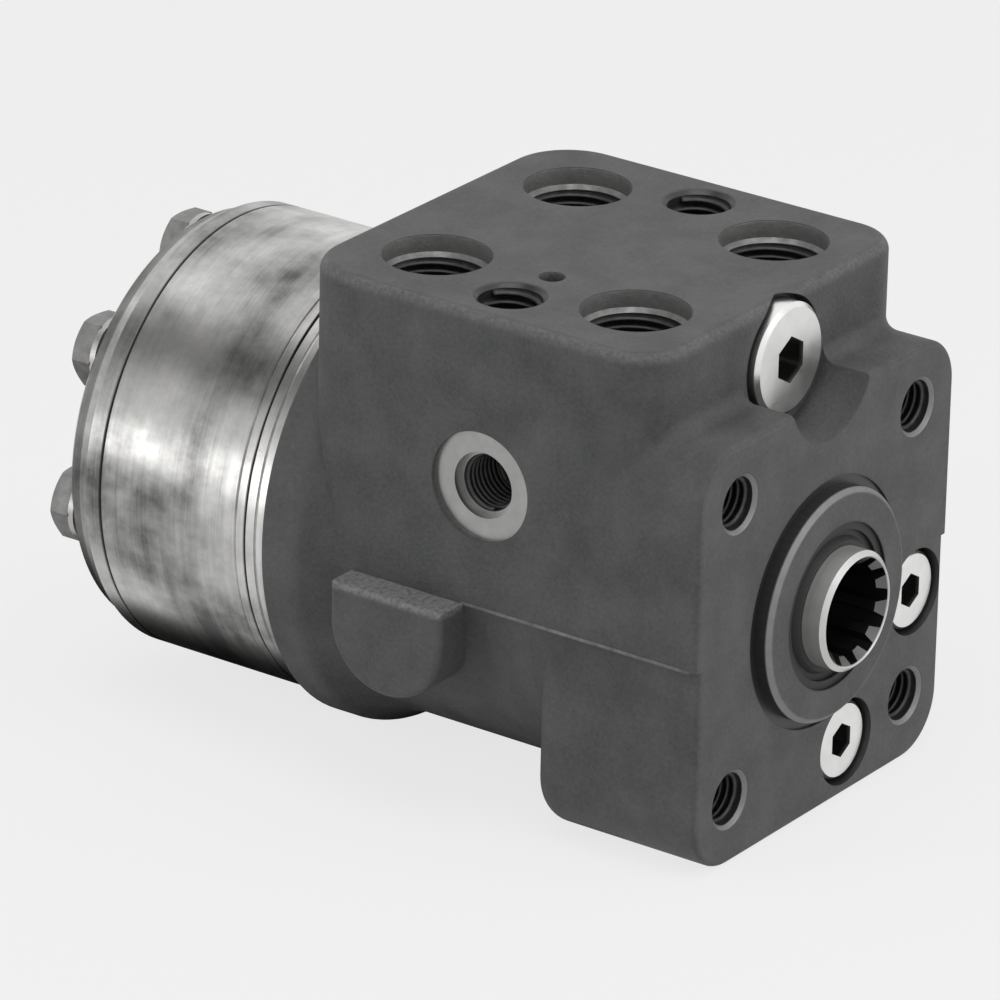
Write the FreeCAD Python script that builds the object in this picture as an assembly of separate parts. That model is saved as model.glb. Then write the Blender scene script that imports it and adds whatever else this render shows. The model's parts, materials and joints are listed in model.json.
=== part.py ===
import FreeCAD, Part
import math
import os

# Orbital steering unit: a rotary spool valve and a gerotor metering set on one shaft axis.
# The origin lies on the shaft axis in the mounting face. +Y runs along the shaft to the
# end cover, +Z is the normal of the port face, +X is to the right seen from the column.

V = FreeCAD.Vector
ACROSS = V(1, 0, 0)
ALONG = V(0, 1, 0)
UP = V(0, 0, 1)

# Clearances
RUNNING_FIT = 0.04
SEAL_FIT = 0.05
THREAD_FIT = 0.05
BALL_FIT = 0.05
LOOSE_FIT = 0.3
CUT_OVERSHOOT = 1.0
NEARLY = 0.1

# Mounting flange
HALF_WIDTH = 41.5
LOWER_HALF_WIDTH = 40.3
FLANGE_TOP = 41.0
FLANGE_BOTTOM = -42.0
FLANGE_UPPER_DEPTH = 24.0
FLANGE_LOWER_DEPTH = 36.7
FLANGE_TOP_CORNER = 10.0
FLANGE_BOTTOM_CORNER = 11.0
FLANGE_REAR_CORNER = 5.0
CAST_EDGE = 1.2
COLUMN_PCD = 82.5
COLUMN_SCREW_R = 5.0
COLUMN_SCREW_DEPTH = 18.0
COLUMN_SCREW_CHAMFER = 0.8
SPIGOT_R = 22.4
SPIGOT_LENGTH = 2.9
SPIGOT_CHAMFER = 0.8
SPIGOT_ROOT_R = 24.2
SPIGOT_ROOT_DEPTH = 0.5

# Valve block above the flange
BLOCK_FRONT = 11.0
BLOCK_REAR_GAP = 3.5
PORT_FACE = 57.3
BLOCK_FRONT_CORNER = 10.0
BLOCK_REAR_CORNER = 13.0
BLOCK_TOP_EDGE = 2.4
JUNCTION_FILLET = 3.0

# Barrel and rear flange
BARREL_R = 41.2
HOUSING_LENGTH = 95.0
RIM_STEP = 4.6
RIM_WIDTH = 6.25
RIM_NOSE_R = 5.0
RIM_EDGE = 0.8
FLARE_R = 18.0

# Cast pads on both sides of the barrel
PAD_PROUD = 7.3
PAD_FRONT = 51.5
PAD_REAR = 76.7
PAD_BOTTOM = -19.8
PAD_EDGE = 1.2

# Main bore, from the column end to the rear face
BORE_R = 19.0
NECK_BORE_R = 12.2
DUST_SEAL_R = 16.0
DUST_SEAL_WIDTH = 3.4
DUST_SEAL_RECESS = 0.6
DUST_LIP_LENGTH = 0.4
DUST_LIP_WIDTH = 0.9
DUST_VALLEY_DEPTH = 0.8
DUST_CASE_WIDTH = 1.6
DUST_ROOT_GAP = 0.6
SHAFT_SEAL_R = 16.5
SHAFT_SEAL_START = 2.5
SHAFT_SEAL_WIDTH = 6.3
SHAFT_SEAL_CASE = 1.3
SHAFT_SEAL_WEB = 2.2
SHAFT_LIP_WIDTH = 1.7
SHAFT_LIP_RECESS = 0.6
SHAFT_LIP_BEVEL = 0.8
BEARING_START = 9.0
RACE_THICKNESS = 2.0
NEEDLE_R = 0.95
NEEDLE_COUNT = 16
NEEDLE_INNER_R = 13.4
NEEDLE_OUTER_R = 17.6
RACE_RADIAL_GAP = 0.2
CAGE_THICKNESS = 1.1
CAGE_RIM = 0.9
NEEDLE_PLAY = 0.1
BORE_GROOVE_DISTANCES = (49.0, 39.0, 29.0, 19.0)
BORE_GROOVE_WIDTH = 5.0
BORE_GROOVE_DEPTH = 2.0

# Spool
NECK_R = 11.5
NECK_FRONT = -7.35
NECK_CHAMFER = 0.9
SPOOL_R = 13.46
SPOOL_SHOULDER = 17.5
SPOOL_REAR_GAP = 4.0
SPOOL_CAVITY_R = 10.4
SOCKET_DEPTH = 20.0
SOCKET_FLOOR = 3.4
SPLINE_TEETH = 12
SOCKET_MAJOR_R = 10.3
SOCKET_MINOR_R = 8.8
SOCKET_CHAMFER_R = 10.6
SOCKET_TIP_SHARE = 0.4
SOCKET_ROOT_SHARE = 0.62
SPOOL_GROOVE_COUNT = 6
SPOOL_GROOVE_R = 1.6

# Sleeve, cross pin and centring springs
SLEEVE_REAR_GAP = 2.5
PIN_R = 2.9
PIN_Y = 37.0
PIN_END_GAP = 0.5
PIN_CHAMFER = 0.4
DEFLECTION_LIMIT = 10.0
SLOT_START = 20.6
SLOT_WIDTH = 6.8
SLOT_HALF_HEIGHT = 2.9
LEAF_THICKNESS = 0.5
LEAF_SPACING = 0.55
LEAF_RISE = 1.0
LEAF_SIDE_GAP = 0.3
RETAINER_OVERLAP = 0.8
RETAINER_THICKNESS = 1.0
SLEEVE_PORT_R = 1.5
METERING_PORT_COUNT = 12
GROOVE_PORT_COUNT = 6
METERING_ROW_DISTANCE = 11.0

# Gerotor set: seven lobes in the ring, six teeth on the rotor
LOBE_COUNT = 7
LOBE_CENTRE_INSET = 9.6
LOBE_R = 8.0
ECCENTRICITY = 3.1
TOOTH_CLEARANCE = 0.15
POCKET_CLEARANCE = 0.3
POCKET_CORNER_R = 2.0
ARCS_PER_TOOTH = 6
DRUM_R = 43.6
PLATE_THICKNESS = 5.2
RING_WIDTH = 34.0
COVER_THICKNESS = 9.0
ROTOR_END_GAP = 0.03
DRUM_EDGE = 0.35
PLATE_HOLE_R = 10.6
CHANNEL_R = 2.4
CHANNEL_INSET = 5.0
CHANNEL_DEPTH = 13.5
COVER_RIM_WIDTH = 3.4
COVER_REAR_INSET = 3.0
COVER_SHOULDER_INSET = 0.6
COVER_REAR_EDGE = 0.7
GROOVE_WIDTH = 0.6
GROOVE_DEPTH = 0.4
RING_GROOVES = (1.9,)
PLATE_GROOVES = (2.4,)

# Cardan shaft between the cross pin and the rotor
FORK_START = 29.0
FORK_END = 45.0
FORK_R = 9.2
FORK_SLOT_FIT = 0.25
FORK_SLOT_DEPTH = 3.4
FORK_BEVEL = 3.0
SHANK_R = 6.5
HEAD_SETBACK = 5.8
HEAD_LENGTH = 10.0
HEAD_MAJOR_R = 9.4
HEAD_MINOR_R = 7.9
HEAD_FIT = 0.38
HEAD_TIP_SHARE = 0.26
HEAD_ROOT_SHARE = 0.5
HEAD_TIP_PLAY = 0.1
HEAD_ROOT_PLAY = 0.16
HEAD_BEVEL = 2.0
HEAD_CROWN = 0.5
HEAD_NECK = 3.0
SPACER_GAP = 0.5
SPACER_R = 7.9
SPACER_CHAMFER = 0.6

# Screws through the end cover
COVER_SCREW_R = 4.0
COVER_SCREW_HOLE_R = 4.25
COVER_SCREW_START_ANGLE = 90.0
COVER_SCREW_DEPTH = 15.0
COVER_SCREW_END_GAP = 2.0
COVER_HEAD_AF = 13.0
COVER_HEAD_HEIGHT = 4.8
COVER_HEAD_TOP_R = 6.0
COVER_HEAD_BEVEL_ANGLE = 30.0
COVER_SCREW_CHAMFER = 0.8
WASHER_R = 7.2
WASHER_THICKNESS = 1.2
CHECK_VALVE_SCREW_INDEX = 3
BUSH_R = 5.5
BUSH_LENGTH = 11.0
BUSH_RECESS = 0.4
CHECK_BALL_R = 3.6
CHECK_BORE_R = 4.2
CHECK_SEAT_DEPTH = 29.0
CHECK_PASSAGE_R = 2.0
CHECK_PASSAGE_LENGTH = 6.0
CHECK_LIFT = 1.0
SCREW_PIN_R = 1.5

# Face seals between housing, plate, ring and cover
FACE_SEAL_INSET = 3.0
FACE_SEAL_SECTION_R = 0.62
FACE_SEAL_SIDES = 6
FACE_SEAL_GROOVE_WIDTH = 1.8
FACE_SEAL_GROOVE_DEPTH = 1.3

# Ports
PORT_SPACING_X = 22.3
PORT_SPACING_Y = 22.1
PORT_CENTRE_LEAD = 0.75
PORT_ENTRY_R = 10.3
PORT_ENTRY_DEPTH = 3.4
PORT_THREAD_R = 9.525
PORT_SEAT_CONE = 0.8
PORT_THREAD_DEPTH = 18.0
PORT_DRILL_R = 5.5
PORT_DRILL_DEPTH = 22.0
GALLERY_R = 4.0
GALLERY_END_X = 6.0
GALLERY_END_Z = 9.0
BLOCK_SCREW_X = 30.2
BLOCK_SCREW_R = 6.0
BLOCK_SCREW_CHAMFER = 0.95
BLOCK_SCREW_DEPTH = 20.0
DOWEL_X = -18.2
DOWEL_Y = 49.8
DOWEL_R = 2.5
DOWEL_DEPTH = 8.0
SIDE_PORT_Y = 48.5
SIDE_PORT_Z = 23.8
SIDE_PORT_SPOT_R = 10.7
SIDE_PORT_SPOT_DEPTH = 1.2
SIDE_PORT_ENTRY_R = 6.4
SIDE_PORT_ENTRY_DEPTH = 3.0
SIDE_PORT_THREAD_R = 5.556
SIDE_PORT_DEPTH = 14.0
SIDE_PORT_DRILL_R = 2.5
SIDE_PORT_DRILL_DEPTH = 24.0

# Relief valve in the valve block
RELIEF_Z = 45.5
SCALLOP_R = 13.4
RELIEF_COUNTERBORE_R = 11.8
RELIEF_COUNTERBORE_DEPTH = 3.0
RELIEF_HEAD_R = 10.75
RELIEF_HEAD_PROUD = 1.7
RELIEF_HEAD_CHAMFER = 0.8
RELIEF_SEAL_THICKNESS = 1.0
RELIEF_THREAD_R = 8.0
RELIEF_PLUG_END = 25.0
RELIEF_BORE_R = 7.0
RELIEF_BORE_START = 26.0
RELIEF_SCREW_START = 27.0
RELIEF_SCREW_LENGTH = 7.0
RELIEF_SPRING_START = 34.2
RELIEF_SPRING_END = 50.0
RELIEF_SPRING_R = 3.9
RELIEF_WIRE_R = 0.6
RELIEF_DISC_R = 4.9
RELIEF_DISC_THICKNESS = 2.0
RELIEF_STEM_R = 2.6
RELIEF_CONE_R = 3.4
RELIEF_TIP_R = 0.6
RELIEF_SEAT_START = 55.0
RELIEF_SEAT_LENGTH = 6.0
RELIEF_SEAT_HOLE_R = 2.4
RELIEF_BORE_END = 68.0
RELIEF_LIFT = 2.0
RELIEF_PASSAGE_R = 2.2
HEX_RELIEF_PLUG = 8.0
HEX_RELIEF_SCREW = 5.0

# Two shock valves behind the plugs in the mounting face
SHOCK_VALVES = ((31.0, -8.6), (9.2, -31.4))
SHOCK_COUNTERBORE_R = 8.5
SHOCK_HEAD_R = 7.6
SHOCK_HEAD_RECESS = 1.0
SHOCK_HEAD_THICKNESS = 2.5
SHOCK_HEAD_CHAMFER = 0.5
SHOCK_SEAL_THICKNESS = 1.0
SHOCK_BORE_R = 5.0
SHOCK_PLUG_LENGTH = 11.0
SHOCK_SCREW_START = 14.0
SHOCK_SCREW_LENGTH = 5.0
SHOCK_SPRING_R = 2.6
SHOCK_WIRE_R = 0.5
SHOCK_BALL_R = 3.0
SHOCK_SEAT_START = 34.5
SHOCK_SEAT_LENGTH = 5.0
SHOCK_SEAT_MOUTH_R = 3.3
SHOCK_SEAT_HOLE_R = 1.9
SHOCK_BORE_END = 42.0
HEX_SHOCK_PLUG = 6.0
HEX_SHOCK_SCREW = 4.0
HEX_SOCKET_SHARE = 0.8
HEX_SOCKET_TURN = 30.0
SPRING_TURNS = 6

# Places along the shaft that follow from the sizes above
RIM_R = BARREL_R + RIM_STEP
PAD_FACE = BARREL_R + PAD_PROUD
BLOCK_REAR = HOUSING_LENGTH - BLOCK_REAR_GAP
PORT_CENTRE_Y = (BLOCK_FRONT + BLOCK_REAR) / 2 - PORT_CENTRE_LEAD
BORE_GROOVES = [HOUSING_LENGTH - distance for distance in BORE_GROOVE_DISTANCES]
SPOOL_REAR = HOUSING_LENGTH - SPOOL_REAR_GAP
SLEEVE_REAR = HOUSING_LENGTH - SLEEVE_REAR_GAP
METERING_ROW = HOUSING_LENGTH - METERING_ROW_DISTANCE
CHECK_SEAT_Y = HOUSING_LENGTH - CHECK_SEAT_DEPTH
LOBE_CENTRE_R = DRUM_R - LOBE_CENTRE_INSET
COVER_SCREW_CENTRE_R = LOBE_CENTRE_R
CHANNEL_CENTRE_R = LOBE_CENTRE_R - CHANNEL_INSET
COVER_REAR_R = DRUM_R - COVER_REAR_INSET
COVER_SHOULDER_R = DRUM_R - COVER_SHOULDER_INSET
FACE_SEAL_R = DRUM_R - FACE_SEAL_INSET
PLATE_START = HOUSING_LENGTH
RING_START = PLATE_START + PLATE_THICKNESS
HEAD_START = RING_START + HEAD_SETBACK
HEAD_END = HEAD_START + HEAD_LENGTH
COVER_START = RING_START + RING_WIDTH
COVER_REAR = COVER_START + COVER_THICKNESS
SLEEVE_FRONT = BEARING_START + 3 * RACE_THICKNESS
SLEEVE_R = BORE_R - RUNNING_FIT
SLEEVE_BORE_R = SPOOL_R + RUNNING_FIT
BLOCK_BOTTOM = 0.0
PITCH = 360.0 / LOBE_COUNT
DIAGONAL = math.sqrt(2)
SOCKET_END = NECK_FRONT + SOCKET_DEPTH
RELIEF_SEAL_START = BLOCK_FRONT + RELIEF_COUNTERBORE_DEPTH - RELIEF_SEAL_THICKNESS
SHOCK_SEAL_START = SHOCK_HEAD_RECESS + SHOCK_HEAD_THICKNESS
SHOCK_COUNTERBORE_DEPTH = SHOCK_SEAL_START + SHOCK_SEAL_THICKNESS
CARDAN_TILT = math.degrees(math.atan2(ECCENTRICITY, (HEAD_START + HEAD_END) / 2 - PIN_Y))
ECCENTRIC_DIRECTION = COVER_SCREW_START_ANGLE


def rod(radius, start, end, x=0.0, z=0.0):
    """Cylinder along the shaft direction."""
    return Part.makeCylinder(radius, end - start, V(x, start, z), ALONG)


def tube(outer, inner, start, end, x=0.0, z=0.0):
    hole = rod(inner, start - CUT_OVERSHOOT, end + CUT_OVERSHOOT, x, z)
    return rod(outer, start, end, x, z).cut(hole)


def cone(start_radius, end_radius, start, end, x=0.0, z=0.0):
    return Part.makeCone(start_radius, end_radius, end - start, V(x, start, z), ALONG)


def chamfered_rod(radius, start, end, chamfer, x=0.0, z=0.0):
    """Cylinder with a 45 degree chamfer at its front end."""
    nose = cone(radius - chamfer, radius, start, start + chamfer, x, z)
    return nose.fuse(rod(radius, start + chamfer, end, x, z))


def drilling(radius, top, depth, x, y):
    """Cylinder down from the port face side."""
    return Part.makeCylinder(radius, depth, V(x, y, top - depth), UP)


def polar(radius, angle):
    """Point in the XZ plane; the angle runs from +X towards +Z."""
    a = math.radians(angle)
    return radius * math.cos(a), radius * math.sin(a)


def hexagon(across_flats, start, end, x=0.0, z=0.0, turn=0.0):
    corner = across_flats / 2 / math.cos(math.radians(30))
    points = []
    for k in range(7):
        px, pz = polar(corner, 60 * k + turn)
        points.append(V(x + px, start, z + pz))
    return Part.Face(Part.makePolygon(points)).extrude(ALONG * (end - start))


def hex_socket(across_flats, front, x, z):
    """Cutter for a hexagon socket in a face."""
    end = front + HEX_SOCKET_SHARE * across_flats
    return hexagon(across_flats, front - CUT_OVERSHOOT, end, x, z, HEX_SOCKET_TURN)


def revolved(profile):
    """Solid of revolution about the shaft axis from (radius, y) points."""
    points = [V(r, y, 0) for r, y in profile]
    face = Part.Face(Part.makePolygon(points + points[:1]))
    return face.revolve(V(0, 0, 0), ALONG, 360)


def coil(mean_radius, wire_radius, start, end, x=0.0, z=0.0):
    """Compression spring: a square wire section swept along a helix in the shaft direction."""
    length = end - start - 2 * wire_radius
    helix = Part.makeHelix(length / SPRING_TURNS, length, mean_radius)
    corners = [V(mean_radius + sx * wire_radius, 0, sz * wire_radius)
               for sx, sz in ((-1, -1), (1, -1), (1, 1), (-1, 1), (-1, -1))]
    spring = Part.Wire(helix.Edges).makePipeShell([Part.makePolygon(corners)], True, True)
    spring.rotate(V(0, 0, 0), ACROSS, -90)
    spring.translate(V(x, start + wire_radius, z))
    return spring


def arc_about(centre, start, end):
    """Arc from start to end round a centre, the short way."""
    middle = (start + end) * 0.5 - centre
    middle.normalize()
    return Part.Arc(start, centre + middle * (start - centre).Length, end).toShape()


def spline_prism(major, minor, tip_share, root_share, start, end):
    """Splined solid: the shares are the tooth's width at its tip and root over the pitch."""
    step = 360.0 / SPLINE_TEETH
    half_tip = step * tip_share / 2
    half_root = step * root_share / 2

    def point(radius, angle):
        px, pz = polar(radius, angle)
        return V(px, start, pz)

    edges = []
    for k in range(SPLINE_TEETH):
        mid = k * step
        tip_in = point(major, mid - half_tip)
        tip_out = point(major, mid + half_tip)
        root_in = point(minor, mid - half_root)
        root_out = point(minor, mid + half_root)
        next_in = point(minor, mid + step - half_root)
        edges.append(Part.makeLine(root_in, tip_in))
        edges.append(Part.Arc(tip_in, point(major, mid), tip_out).toShape())
        edges.append(Part.makeLine(tip_out, root_out))
        edges.append(Part.Arc(root_out, point(minor, mid + step / 2), next_in).toShape())
    return Part.Face(Part.Wire(edges)).extrude(ALONG * (end - start))


def cover_screw_places():
    return [polar(COVER_SCREW_CENTRE_R, COVER_SCREW_START_ANGLE + k * PITCH) for k in range(LOBE_COUNT)]


def face_seal_groove(start, end):
    half = FACE_SEAL_GROOVE_WIDTH / 2
    return tube(FACE_SEAL_R + half, FACE_SEAL_R - half, start, end)


def drum_disc(start, end, grooves):
    """Turned disc with broken edges and shallow turned grooves, measured from its front face."""
    profile = [(0, start), (DRUM_R - DRUM_EDGE, start), (DRUM_R, start + DRUM_EDGE)]
    for place in grooves:
        profile += [(DRUM_R, start + place), (DRUM_R - GROOVE_DEPTH, start + place + GROOVE_WIDTH / 2)]
        profile += [(DRUM_R, start + place + GROOVE_WIDTH)]
    profile += [(DRUM_R, end - DRUM_EDGE), (DRUM_R - DRUM_EDGE, end), (0, end)]
    return revolved(profile)


# Housing

def mounting_flange():
    """Upper and lower halves: they meet at the parting line, and the lower one is narrower and thicker."""
    upper = Part.makeBox(2 * HALF_WIDTH, FLANGE_UPPER_DEPTH, FLANGE_TOP, V(-HALF_WIDTH, 0, 0))
    corners = [e for e in upper.Edges if along_y(e) and e.BoundBox.ZMin > FLANGE_TOP / 2]
    upper = upper.makeFillet(FLANGE_TOP_CORNER, corners)
    lower = Part.makeBox(2 * LOWER_HALF_WIDTH, FLANGE_LOWER_DEPTH, -FLANGE_BOTTOM,
                         V(-LOWER_HALF_WIDTH, 0, FLANGE_BOTTOM))
    corners = [e for e in lower.Edges if along_y(e) and e.BoundBox.ZMax < FLANGE_BOTTOM / 2]
    lower = lower.makeFillet(FLANGE_BOTTOM_CORNER, corners)
    rear = [e for e in lower.Edges if e.BoundBox.YMin > FLANGE_LOWER_DEPTH - NEARLY
            and e.BoundBox.ZMax < -NEARLY]
    lower = lower.makeFillet(FLANGE_REAR_CORNER, rear)
    return [soften_front(upper), soften_front(lower)]


def along_y(edge):
    box = edge.BoundBox
    return box.XLength < NEARLY and box.ZLength < NEARLY


def soften_front(flange_half):
    """Small radius on the flange's front edge, apart from the line where the halves meet."""
    front = [e for e in flange_half.Edges if e.BoundBox.YMax < NEARLY
             and max(abs(e.BoundBox.ZMin), abs(e.BoundBox.ZMax)) > NEARLY]
    return flange_half.makeFillet(CAST_EDGE, front)


def valve_block():
    block = Part.makeBox(2 * HALF_WIDTH, BLOCK_REAR - BLOCK_FRONT, PORT_FACE - BLOCK_BOTTOM,
                         V(-HALF_WIDTH, BLOCK_FRONT, BLOCK_BOTTOM))
    front = [e for e in block.Edges if upright(e) and e.BoundBox.YMax < BLOCK_FRONT + NEARLY]
    block = block.makeFillet(BLOCK_FRONT_CORNER, front)
    rear = [e for e in block.Edges if upright(e) and e.BoundBox.YMin > BLOCK_REAR - NEARLY]
    block = block.makeFillet(BLOCK_REAR_CORNER, rear)
    top = [e for e in block.Edges if e.BoundBox.ZMin > PORT_FACE - NEARLY]
    return block.makeFillet(BLOCK_TOP_EDGE, top)


def upright(edge):
    box = edge.BoundBox
    return box.XLength < NEARLY and box.YLength < NEARLY


def barrel():
    """Cylinder under the valve block, tapered into the front flange and flared out to the rear one."""
    nose_centre = V(RIM_R - RIM_NOSE_R, HOUSING_LENGTH - RIM_WIDTH, 0)
    flare_centre_r = BARREL_R + FLARE_R
    reach = math.sqrt((FLARE_R + RIM_NOSE_R) ** 2 - (flare_centre_r - nose_centre.x) ** 2)
    flare_centre = V(flare_centre_r, nose_centre.y - reach, 0)
    flare_start = V(BARREL_R, flare_centre.y, 0)
    flare_end = flare_centre + (nose_centre - flare_centre) * (FLARE_R / (FLARE_R + RIM_NOSE_R))
    rim_front = V(RIM_R, nose_centre.y, 0)
    front = FLANGE_LOWER_DEPTH - FLANGE_REAR_CORNER - CUT_OVERSHOOT
    inner = [V(0, HOUSING_LENGTH, 0), V(0, front, 0), V(LOWER_HALF_WIDTH - LOOSE_FIT, front, 0),
             V(BARREL_R, FLANGE_LOWER_DEPTH, 0), flare_start]
    rear = [rim_front, V(RIM_R, HOUSING_LENGTH - RIM_EDGE, 0), V(RIM_R - RIM_EDGE, HOUSING_LENGTH, 0),
            inner[0]]
    edges = [Part.makeLine(a, b) for a, b in zip(inner, inner[1:])]
    edges.append(arc_about(flare_centre, flare_start, flare_end))
    edges.append(arc_about(nose_centre, flare_end, rim_front))
    edges += [Part.makeLine(a, b) for a, b in zip(rear, rear[1:])]
    return Part.Face(Part.Wire(edges)).revolve(V(0, 0, 0), ALONG, 360)


def side_pads():
    """Cast pads with a flat top at the parting line and a half-round foot."""
    radius = (PAD_REAR - PAD_FRONT) / 2
    middle = (PAD_REAR + PAD_FRONT) / 2
    top_rear = V(-PAD_FACE, PAD_REAR, BLOCK_BOTTOM)
    top_front = V(-PAD_FACE, PAD_FRONT, BLOCK_BOTTOM)
    arc_front = V(-PAD_FACE, PAD_FRONT, PAD_BOTTOM + radius)
    arc_rear = V(-PAD_FACE, PAD_REAR, PAD_BOTTOM + radius)
    foot = Part.Arc(arc_front, V(-PAD_FACE, middle, PAD_BOTTOM), arc_rear).toShape()
    outline = Part.Wire([Part.makeLine(top_rear, top_front), Part.makeLine(top_front, arc_front), foot,
                         Part.makeLine(arc_rear, top_rear)])
    pads = Part.Face(outline).extrude(ACROSS * (2 * PAD_FACE))
    rims = [e for e in pads.Edges if e.BoundBox.XLength < NEARLY]
    return pads.makeFillet(PAD_EDGE, rims)


def port_places():
    return [(sx * PORT_SPACING_X, PORT_CENTRE_Y + sy * PORT_SPACING_Y) for sy in (-1, 1) for sx in (-1, 1)]


def port_cuts():
    """Straight-thread ports with a seal seat, and a gallery from each to its groove in the bore."""
    cuts = []
    seat_top = PORT_FACE - PORT_ENTRY_DEPTH
    thread_end = PORT_FACE - PORT_THREAD_DEPTH
    drill_end = PORT_FACE - PORT_DRILL_DEPTH
    for (x, y), groove in zip(port_places(), BORE_GROOVES):
        cuts.append(drilling(PORT_ENTRY_R, PORT_FACE + CUT_OVERSHOOT, PORT_ENTRY_DEPTH + CUT_OVERSHOOT, x, y))
        seat_foot = V(x, y, seat_top - PORT_SEAT_CONE)
        cuts.append(Part.makeCone(PORT_THREAD_R, PORT_ENTRY_R, PORT_SEAT_CONE, seat_foot, UP))
        cuts.append(drilling(PORT_THREAD_R, seat_top, seat_top - thread_end, x, y))
        cuts.append(drilling(PORT_DRILL_R, thread_end, thread_end - drill_end, x, y))
        top = V(x, y, drill_end + CUT_OVERSHOOT)
        inner_end = V(math.copysign(GALLERY_END_X, x), groove, GALLERY_END_Z)
        cuts.append(Part.makeCylinder(GALLERY_R, (inner_end - top).Length, top, inner_end - top))
    return cuts


def port_face_holes():
    cuts = []
    for x in (-BLOCK_SCREW_X, BLOCK_SCREW_X):
        cuts.append(drilling(BLOCK_SCREW_R, PORT_FACE + CUT_OVERSHOOT, BLOCK_SCREW_DEPTH + CUT_OVERSHOOT,
                             x, PORT_CENTRE_Y))
        cuts.append(Part.makeCone(BLOCK_SCREW_R, BLOCK_SCREW_R + BLOCK_SCREW_CHAMFER, BLOCK_SCREW_CHAMFER,
                                  V(x, PORT_CENTRE_Y, PORT_FACE - BLOCK_SCREW_CHAMFER), UP))
    cuts.append(drilling(DOWEL_R, PORT_FACE + CUT_OVERSHOOT, DOWEL_DEPTH + CUT_OVERSHOOT, DOWEL_X, DOWEL_Y))
    return cuts


def side_port_cuts():
    """Load-sensing port: spot face, seal seat, thread and a drilling inwards."""
    def bore(radius, start, depth):
        foot = V(start - HALF_WIDTH, SIDE_PORT_Y, SIDE_PORT_Z)
        return Part.makeCylinder(radius, depth - start, foot, ACROSS)

    return [bore(SIDE_PORT_SPOT_R, -CUT_OVERSHOOT, SIDE_PORT_SPOT_DEPTH),
            bore(SIDE_PORT_ENTRY_R, 0, SIDE_PORT_ENTRY_DEPTH),
            bore(SIDE_PORT_THREAD_R, 0, SIDE_PORT_DEPTH),
            bore(SIDE_PORT_DRILL_R, 0, SIDE_PORT_DRILL_DEPTH)]


def column_screw_cuts():
    cuts = []
    for k in range(4):
        x, z = polar(COLUMN_PCD / 2, 45 + 90 * k)
        cuts.append(rod(COLUMN_SCREW_R, -CUT_OVERSHOOT, COLUMN_SCREW_DEPTH, x, z))
        mouth_r = COLUMN_SCREW_R + COLUMN_SCREW_CHAMFER
        cuts.append(cone(mouth_r, COLUMN_SCREW_R, 0, COLUMN_SCREW_CHAMFER, x, z))
    return cuts


def main_bore_cuts():
    """Stepped bore for the seals, the thrust bearing and the sleeve, with its annular grooves."""
    front = -SPIGOT_LENGTH - CUT_OVERSHOOT
    dust_floor = DUST_SEAL_RECESS + DUST_SEAL_WIDTH - SPIGOT_LENGTH
    cuts = [rod(DUST_SEAL_R, front, dust_floor), rod(NECK_BORE_R, front, SHAFT_SEAL_START + CUT_OVERSHOOT),
            rod(SHAFT_SEAL_R, SHAFT_SEAL_START, BEARING_START + CUT_OVERSHOOT),
            rod(BORE_R, BEARING_START, HOUSING_LENGTH + CUT_OVERSHOOT)]
    half = BORE_GROOVE_WIDTH / 2
    for y in BORE_GROOVES:
        cuts.append(tube(BORE_R + BORE_GROOVE_DEPTH, BORE_R - CUT_OVERSHOOT, y - half, y + half))
    return cuts


def channel_cuts():
    """Seven axial channels that feed the gerotor chambers, each with a radial drilling to the bore."""
    cuts = []
    row = METERING_ROW
    for k in range(LOBE_COUNT):
        angle = COVER_SCREW_START_ANGLE + (k + 0.5) * PITCH
        x, z = polar(CHANNEL_CENTRE_R, angle)
        cuts.append(rod(CHANNEL_R, HOUSING_LENGTH - CHANNEL_DEPTH, HOUSING_LENGTH + CUT_OVERSHOOT, x, z))
        direction = V(x, 0, z)
        start = direction * ((BORE_R - CUT_OVERSHOOT) / CHANNEL_CENTRE_R) + V(0, row, 0)
        length = CHANNEL_CENTRE_R - BORE_R + CUT_OVERSHOOT
        cuts.append(Part.makeCylinder(SLEEVE_PORT_R, length, start, direction))
    return cuts


def cover_screw_cuts():
    cuts = []
    for k, (x, z) in enumerate(cover_screw_places()):
        if k != CHECK_VALVE_SCREW_INDEX:
            cuts.append(rod(COVER_SCREW_R + THREAD_FIT, HOUSING_LENGTH - COVER_SCREW_DEPTH,
                            HOUSING_LENGTH + CUT_OVERSHOOT, x, z))
            continue
        cuts.append(rod(BUSH_R + THREAD_FIT, HOUSING_LENGTH - BUSH_LENGTH - BUSH_RECESS,
                        HOUSING_LENGTH + CUT_OVERSHOOT, x, z))
        cuts.append(rod(CHECK_BORE_R, CHECK_SEAT_Y, HOUSING_LENGTH, x, z))
        cuts.append(cone(CHECK_PASSAGE_R, CHECK_BORE_R, check_cone_start(), CHECK_SEAT_Y, x, z))
        cuts.append(rod(CHECK_PASSAGE_R, check_cone_start() - CHECK_PASSAGE_LENGTH, CHECK_SEAT_Y, x, z))
    return cuts


def check_cone_start():
    return CHECK_SEAT_Y - (CHECK_BORE_R - CHECK_PASSAGE_R)


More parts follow.
